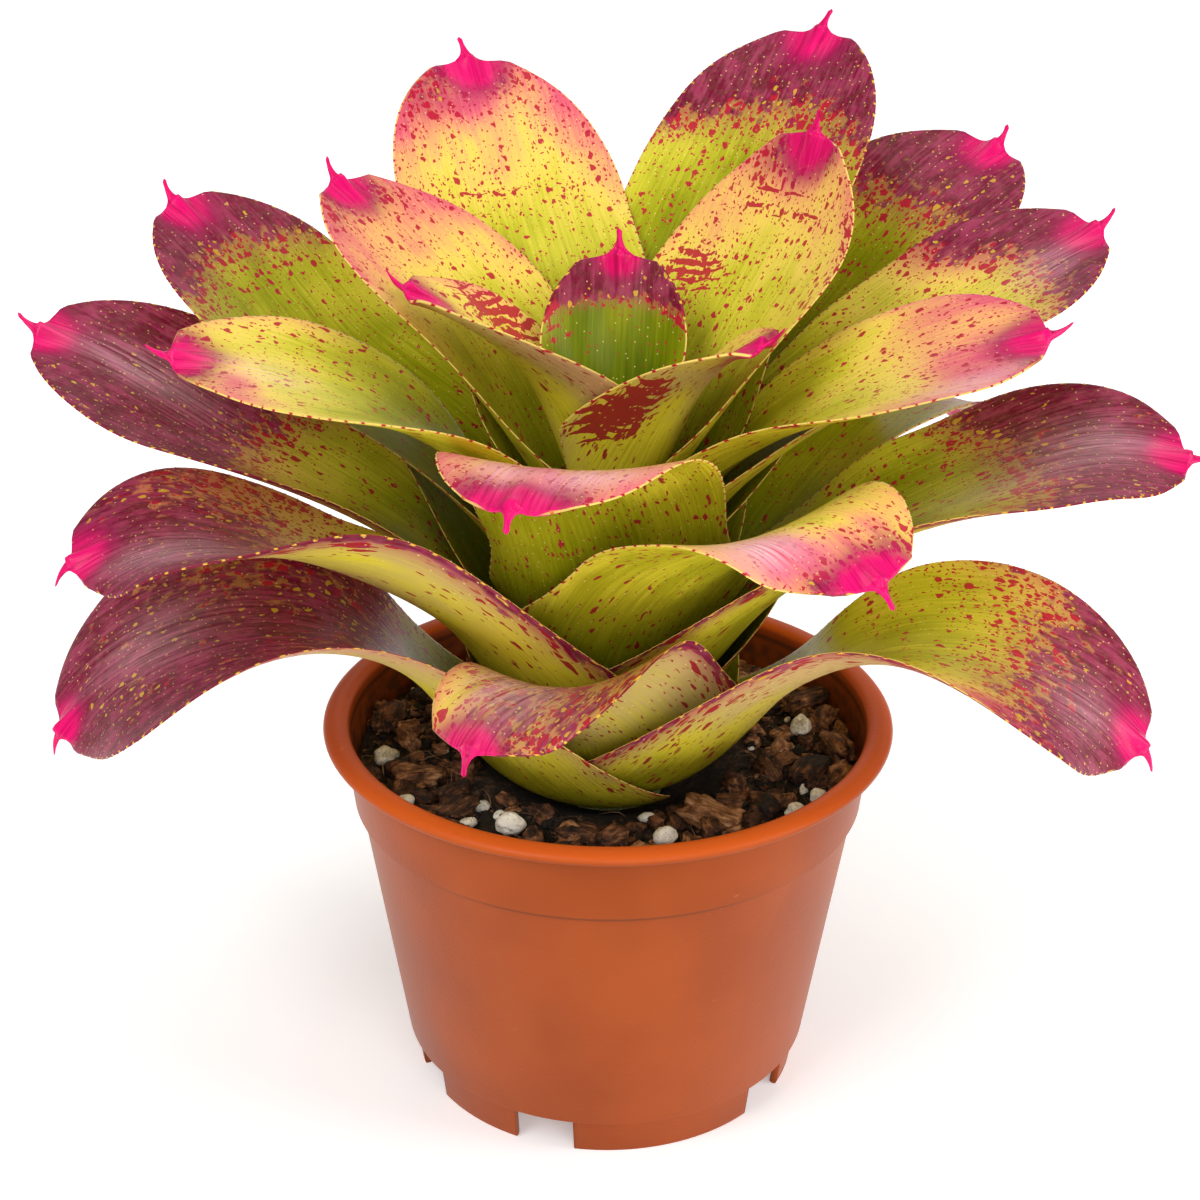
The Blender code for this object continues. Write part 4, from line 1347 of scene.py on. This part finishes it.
PERLITE_GRAINS = (
    Grain(-171, 59, (6.0, 5.0, 4.4), 20), Grain(-149, 60, (4.4, 3.6, 3.2), 70),
    Grain(-120, 49, (7.0, 5.6, 5.0), 10), Grain(-74, 51, (6.0, 5.0, 4.2), 40),
    Grain(-36, 59, (5.0, 4.0, 3.6), 0), Grain(-26, 60, (4.6, 4.2, 3.4), 50),
    Grain(10, 53, (6.6, 5.2, 4.6), 80), Grain(58, 56, (6.4, 5.4, 4.6), 15),
    Grain(102, 50, (5.4, 4.6, 4.0), 65), Grain(143, 58, (6.2, 5.0, 4.4), 30),
)
BARK_CHIPS = (
    Grain(167, 61, (11, 7, 4.6), 80), Grain(-160, 52, (10, 6, 4.2), 15),
    Grain(-139, 51, (11, 7, 4.4), 55), Grain(-132, 61, (9, 6, 4.0), -30),
    Grain(-105, 59, (12, 7, 4.6), 5), Grain(-98, 46, (10, 6, 4.2), -20),
    Grain(-84, 58, (9, 6, 4.0), 40), Grain(-62, 60, (11, 6, 4.4), 25),
    Grain(-55, 47, (14, 9, 5.2), -35), Grain(-15, 55, (11, 7, 4.4), 65),
    Grain(-2, 61, (10, 6, 4.2), -75), Grain(24, 60, (11, 6, 4.4), 35),
    Grain(41, 52, (10, 7, 4.4), -25), Grain(78, 57, (12, 7, 4.6), 85),
    Grain(90, 60, (9, 6, 4.0), 5), Grain(120, 56, (12, 7, 4.6), -50),
    Grain(150, 50, (10, 6, 4.2), 60),
)


class Cloud:
    """Points, faces and grain of many small pieces that become one object."""

    def __init__(self) -> None:
        """Start empty."""
        self.points: list[np.ndarray] = []
        self.faces: list[tuple[int, ...]] = []
        self.grain: list[np.ndarray] = []
        self.count = 0

    def add(self, points: np.ndarray, faces: list, grain: np.ndarray) -> None:
        """Add a piece.

        Args:
            points: Its points, in metres.
            faces: The corners of its faces.
            grain: Its own coordinates, in millimetres, for the pattern.
        """
        self.faces += [tuple(corner + self.count for corner in face) for face in faces]
        self.points.append(points)
        self.grain.append(grain)
        self.count += len(points)

    def link(self, name: str, material: bpy.types.Material) -> bpy.types.Object:
        """Make the object.

        Args:
            name: Its name.
            material: Its material.

        Returns:
            The object.
        """
        made = make_object(name, np.concatenate(self.points), self.faces, [material])
        store(made, "grain", np.concatenate(self.grain))
        return made


def ball(subdivisions: int) -> tuple[np.ndarray, list]:
    """Return the points and faces of a ball of diameter 1, made of even triangles."""
    shape = bmesh.new()
    bmesh.ops.create_icosphere(shape, subdivisions=subdivisions, radius=0.5)
    points = np.array([vertex.co for vertex in shape.verts])
    faces = [tuple(vertex.index for vertex in face.verts) for face in shape.faces]
    shape.free()
    return points, faces


@dataclass
class PottingMix:
    """The potting mix with its bark, perlite, crumbs and fibres.

    swelling makes up for what the noise takes off the larger pieces. bark_sink and perlite_sink are
    how much of their height is buried, or else how much they stand clear of the nearest hollow.
    """

    sides: int = 300
    swelling: float = 1.12
    bark_sink: float = 0.10
    perlite_sink: float = -0.12
    fibres: int = 190
    seed: int = 11

    def __post_init__(self) -> None:
        """Make the finishes and the shapes that the pieces start from."""
        self.peat, self.bark = PEAT.make(), BARK.make()
        self.perlite, self.hair = PERLITE.make(), FIBRE.make()
        self.balls = {level: ball(level) for level in (2, 3, 4)}
        self.chance = np.random.default_rng(self.seed)

    def build(self) -> None:
        """Build every piece."""
        self._bed()
        for number, grain in enumerate(BARK_CHIPS, 1):
            self._single(f"bark_{number:02d}", grain, self._chip, self.bark, "bark", self.bark_sink)
        for number, grain in enumerate(PERLITE_GRAINS, 1):
            self._single(f"perlite_{number:02d}", grain, self._pebble, self.perlite, "perlite",
                         self.perlite_sink)
        self._scatter("bark_crumbs", 250, (3.6, 9.5), self._chip, self.bark, "bark", 3)
        self._scatter("peat_crumbs", 900, (1.0, 3.2), self._chip, self.peat, "peat", 2)
        self._scatter("bark_dust", 500, (0.8, 2.8), self._chip, self.bark, "bark", 2)
        self._scatter("perlite_crumbs", 60, (1.4, 5.6), self._pebble, self.perlite, "perlite", 3)
        self._fibres()

    def _bed(self) -> None:
        """Build the filling: a crumbly top and plain sides and floor."""
        rings = np.concatenate([np.linspace(STEM_FOOT_RADIUS + 0.0004, DIP_RADIUS, 16),
                                np.linspace(DIP_RADIUS, SOIL_EDGE, 52)[1:]])
        sides = self.sides
        step = COLLAR_FOOT[1]
        floor = BODY_FOOT[1] + WALL + GAP
        wall = [(SOIL_EDGE - 2 * GAP, SOIL_HEIGHT - 0.004),
                (inner_radius(step) - 2 * GAP, step + 0.0012),
                (inner_radius(step - 0.0006) - 2 * GAP, step - 0.0010),
                (inner_radius(floor) - 2 * GAP, floor + 0.0022),
                (inner_radius(floor) - 0.0024, floor)]
        turn = [(cos(a), sin(a)) for a in np.linspace(0, 2 * pi, sides, endpoint=False)]
        rows = [[((STEM_FOOT_RADIUS + GAP) * x, (STEM_FOOT_RADIUS + GAP) * y, STEM_FOOT - GAP)
                 for x, y in turn]]
        rows += [[(radius * x, radius * y, soil_height(radius * x, radius * y)) for x, y in turn]
                 for radius in rings]
        rows += [[(radius * x, radius * y, height) for x, y in turn] for radius, height in wall]
        points = np.array(rows).reshape(-1, 3)
        faces = []
        for i in range(len(rows) - 1):
            for j in range(sides):
                k = (j + 1) % sides
                faces.append((i * sides + j, (i + 1) * sides + j, (i + 1) * sides + k, i * sides + k))
        faces.append(tuple(reversed(range(sides))))
        faces.append(tuple(range((len(rows) - 1) * sides, len(rows) * sides)))
        bed = make_object("potting_mix_visual", points, faces, [self.peat])
        bed.data.flip_normals()
        store(bed, "grain", points / MM)
        join_model(bed, "peat", "potting_mix")

    def _chip(self, size: tuple, level: int) -> LoosePiece:
        """Return a broken, layered chip of a size in millimetres.

        Args:
            size: Its length, width and height.
            level: How fine its mesh is.

        Returns:
            Its points and faces, in millimetres, and its grain.
        """
        points, faces = self.balls[level]
        shift = Vector(self.chance.uniform(0, 50, 3))
        block = np.sign(points) * np.abs(points * 2) ** 0.50 / 2
        made = []
        for p in block:
            place = Vector(p)
            split = Vector((place.x * 2.4, place.y * 4.5, place.z * 4.5))
            torn = noise.fractal(split + shift, 0.5, 2.2, 4)
            bulge = noise.noise(place * 2.2 + shift)
            made.append(place * (1 + 0.45 * bulge + 0.26 * torn))
        made = np.array(made) * np.array(size)
        return made, faces, made + np.array(shift)

    def _pebble(self, size: tuple, level: int) -> LoosePiece:
        """Return a lumpy perlite grain, with the same arguments and results as a chip."""
        points, faces = self.balls[level]
        shift = Vector(self.chance.uniform(0, 50, 3))
        made = []
        for p in points:
            place = Vector(p)
            lump = noise.noise(place * 2.6 + shift)
            pit = max(noise.noise(place * 9 + shift) - 0.28, 0)
            made.append(place * (1 + 0.26 * lump - 0.5 * pit))
        made = np.array(made) * np.array(size)
        return made, faces, made + np.array(shift)

    def _place(self, points: np.ndarray, grain: Grain, sink: float, tip: float) -> np.ndarray:
        """Turn a piece and lay it on the potting mix.

        Args:
            points: Its points, in millimetres.
            grain: Its place and turn.
            sink: How much of its height is buried.
            tip: How far it is tipped over, in degrees.

        Returns:
            Its points in place, in metres.
        """
        turn = Matrix.Rotation(radians(grain.turn), 3, "Z") @ Matrix.Rotation(radians(tip), 3, "X")
        points = points @ np.array(turn).T * MM
        azimuth = radians(grain.azimuth)
        x, y = grain.radius * MM * cos(azimuth), grain.radius * MM * sin(azimuth)
        low, high = points[:, 2].min(), points[:, 2].max()
        points[:, 2] += soil_height(x, y) - low - (high - low) * sink
        points[:, :2] += (x, y)
        radius = np.hypot(points[:, 0], points[:, 1])
        points[:, :2] *= np.minimum(1, LOOSE_LIMIT / radius)[:, None]
        return points

    def _single(self, node: str, grain: Grain, shape: Callable[[tuple, int], LoosePiece],
                material: bpy.types.Material, slot: str, sink: float) -> None:
        """Build a piece that has a node of its own.

        Args:
            node: The node that it stands for.
            grain: Its size and place.
            shape: The method that makes it.
            material: Its material.
            slot: The record's slot.
            sink: How much of its height is buried.
        """
        points, faces, texture = shape(np.array(grain.size) * self.swelling, 4)
        cloud = Cloud()
        cloud.add(self._place(points, grain, sink, self.chance.uniform(-8, 8)), faces, texture)
        join_model(cloud.link(f"{node}_visual", material), slot, node)

    def _scatter(self, name: str, count: int, sizes: Pair,
                 shape: Callable[[tuple, int], LoosePiece], material: bpy.types.Material, slot: str,
                 level: int) -> None:
        """Scatter small pieces over the potting mix, as one object.

        Args:
            name: Its name.
            count: How many pieces there are.
            sizes: Their least and greatest length, in millimetres.
            shape: The method that makes one.
            material: Their material.
            slot: The record's slot.
            level: How fine their meshes are.
        """
        cloud = Cloud()
        for _ in range(count):
            radius = self.chance.uniform(0.29, 0.98) ** 0.5 * SOIL_EDGE / MM
            length = sizes[0] + (sizes[1] - sizes[0]) * self.chance.uniform() ** 1.7
            radius = min(radius, SOIL_EDGE / MM - length * 0.35)
            size = (length, length * self.chance.uniform(0.55, 0.9),
                    length * self.chance.uniform(0.45, 0.8))
            grain = Grain(self.chance.uniform(-180, 180), radius, size, self.chance.uniform(0, 360))
            points, faces, texture = shape(size, level)
            sunk = self.chance.uniform(0.1, 0.5)
            cloud.add(self._place(points, grain, sunk, self.chance.uniform(-35, 35)), faces, texture)
        join_model(cloud.link(name, material), slot)

    def _fibres(self) -> None:
        """Lay thin, bent fibres over the potting mix."""
        cloud = Cloud()
        steps, corners = 9, 4
        for _ in range(self.fibres):
            radius = self.chance.uniform(0.30, 0.95) ** 0.5 * 0.064
            azimuth, heading = self.chance.uniform(-pi, pi, 2)
            length = self.chance.uniform(0.004, 0.012)
            thick = self.chance.uniform(0.00008, 0.00020)
            x, y = radius * cos(azimuth), radius * sin(azimuth)
            arch, curl = self.chance.uniform(0.0004, 0.0030), self.chance.uniform(-1.6, 1.6)
            points = []
            for i in range(steps):
                share = i / (steps - 1)
                angle = heading + curl * share
                x += cos(angle) * length / steps
                y += sin(angle) * length / steps
                pull = min(1, FIBRE_LIMIT / max((x * x + y * y) ** 0.5, 1e-6))
                x, y = x * pull, y * pull
                z = soil_height(x, y) + 0.0010 + arch * sin(pi * share)
                across = Vector((-sin(angle), cos(angle), 0))
                for k in range(corners):
                    turn = 2 * pi * k / corners
                    offset = across * cos(turn) + Vector((0, 0, 1)) * sin(turn)
                    points.append(np.array(Vector((x, y, z)) + offset * thick * (1.05 - share)))
            faces = [(i * corners + k, i * corners + (k + 1) % corners,
                      (i + 1) * corners + (k + 1) % corners, (i + 1) * corners + k)
                     for i in range(steps - 1) for k in range(corners)]
            faces += [tuple(reversed(range(corners))),
                      tuple(range((steps - 1) * corners, steps * corners))]
            points = np.array(points)
            cloud.add(points, faces, points / MM)
        join_model(cloud.link("root_fibres", self.hair), "bark")


class Plant:
    """The stem and the leaves of the rosette."""

    def build(self) -> None:
        """Build every leaf, outermost first, and dress the stem."""
        upper, lower = UPPER_FACE.make(), LOWER_FACE.make()
        for order, plan in enumerate(LEAVES):
            piece = Leaf(plan, order).build([upper, lower])
            join_model(piece, "leaf", f"leaf_{order + 1:02d}")
        self._dress_stem()

    @staticmethod
    def _dress_stem() -> None:
        """Give the stem's solid, which only shows between the sheaths, its finish."""
        sh = Shader("stem_green")
        place = sh.add("TexCoord", {}, {})["Object"]
        fibres = sh.noise(sh.stretch(place, (1, 1, 0.2)), 900, 4)
        colour = sh.mix(fibres.ease(0.35, 0.65), (0.20, 0.23, 0.07), (0.36, 0.33, 0.14))
        finish = sh.finish({"Base Color": colour, "Roughness": 0.6}, fibres, 0.0002)
        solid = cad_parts["stem"]
        solid.data.materials.clear()
        solid.data.materials.append(finish)


PLANT_MIDDLE = Vector((0, 0, 0.13))


@dataclass
class Studio:
    """The camera, the lights and the floor, in metres, degrees and watts.

    The camera looks at target_height on the plant's axis from a distance. It stands aside from the
    axis and is rolled a little. focal_pixels is its focal length on a picture photo_width wide, and
    sensor is in millimetres. Each light has a name, a place, a width and height, and its power.
    """

    elevation: float = 25.2
    distance: float = 0.600
    target_height: float = 0.1358
    focal_pixels: float = 2320.0
    photo_width: float = 1200.0
    sensor: float = 36.0
    aside: float = -0.0023
    roll: float = 0.34
    floor_size: float = 60.0
    white: Colour = (0.90, 0.90, 0.90)
    glow_near: Colour = (0.28, 0.28, 0.28)
    glow_far: Colour = (0.62, 0.62, 0.62)
    lights: tuple = (
        ("key", (-0.75, -0.80, 1.20), (0.8, 0.8), 11.0),
        ("front", (0.30, -1.35, 0.75), (0.9, 0.7), 7.5),
        ("fill", (1.20, -0.35, 0.70), (0.6, 1.0), 9.0),
        ("top", (0.05, 0.20, 1.40), (0.8, 0.8), 3.5),
        ("back", (0.25, 1.30, 0.80), (1.2, 0.8), 1.5),
    )

    def build(self) -> None:
        """Set up everything round the plant."""
        self._camera()
        for name, place, size, power in self.lights:
            self._light(name, Vector(place), size, power)
        self._floor()
        self._surroundings()

    def _camera(self) -> None:
        """Stand the camera where the photograph was taken."""
        data = bpy.data.cameras.new("camera")
        data.sensor_width = self.sensor
        data.lens = self.sensor * self.focal_pixels / self.photo_width
        data.clip_start, data.clip_end = 0.02, 30
        rise = radians(self.elevation)
        back = Vector((0, -cos(rise), sin(rise)))
        right = Vector((1, 0, 0))
        up = back.cross(right)
        tilt = radians(self.roll)
        right, up = right * cos(tilt) + up * sin(tilt), up * cos(tilt) - right * sin(tilt)
        place = Vector((self.aside, 0, self.target_height)) + back * self.distance
        camera = link("camera", data)
        facing = Matrix((right, up, back)).transposed().to_4x4()
        camera.matrix_world = Matrix.Translation(place) @ facing
        bpy.context.scene.camera = camera

    @staticmethod
    def _light(name: str, place: Vector, size: tuple[float, float], power: float) -> None:
        """Hang a soft light that faces the plant.

        Args:
            name: Its name.
            place: Where it hangs, in metres.
            size: Its width and height, in metres.
            power: Its power, in watts.
        """
        data = bpy.data.lights.new(name, "AREA")
        data.shape = "RECTANGLE"
        data.size, data.size_y = size
        data.energy = power
        lamp = link(name, data)
        lamp.location = place
        aim = place - PLANT_MIDDLE
        lamp.rotation_euler = aim.to_track_quat("Z", "Y").to_euler()

    def _floor(self) -> None:
        """Lay a plain white floor, which glows more away from the pot so that it fades to white."""
        half = self.floor_size / 2
        points = np.array([(-half, -half, 0), (half, -half, 0), (half, half, 0), (-half, half, 0)])
        sh = Shader("floor_white")
        place = sh.add("TexCoord", {}, {})["Object"]
        glow = sh.mix(sh.reach(place).ease(0.06, 0.55), self.glow_near, self.glow_far)
        finish = sh.finish({"Base Color": self.white, "Roughness": 0.6, "Specular IOR Level": 0.2,
                            "Emission Color": glow, "Emission Strength": 1.0})
        finish.cycles.emission_sampling = "NONE"  # So wide a glow needs no light rays of its own.
        make_object("floor", points, [(0, 1, 2, 3)], [finish])

    @staticmethod
    def _surroundings() -> None:
        """Surround the scene with even white light."""
        world = bpy.data.worlds.new("studio")
        world.use_nodes = True
        light = world.node_tree.nodes["Background"]
        light.inputs["Color"].default_value = (1, 1, 1, 1)
        light.inputs["Strength"].default_value = 0.32
        bpy.context.scene.world = world
        bpy.context.scene.view_settings.view_transform = "Standard"


def main() -> None:
    """Build the pot, the potting mix, the plant and the studio."""
    logging.basicConfig(level=logging.INFO, format="%(name)s %(message)s")
    Pot().build()
    PottingMix().build()
    Plant().build()
    Studio().build()


if __name__ == "__main__":
    main()
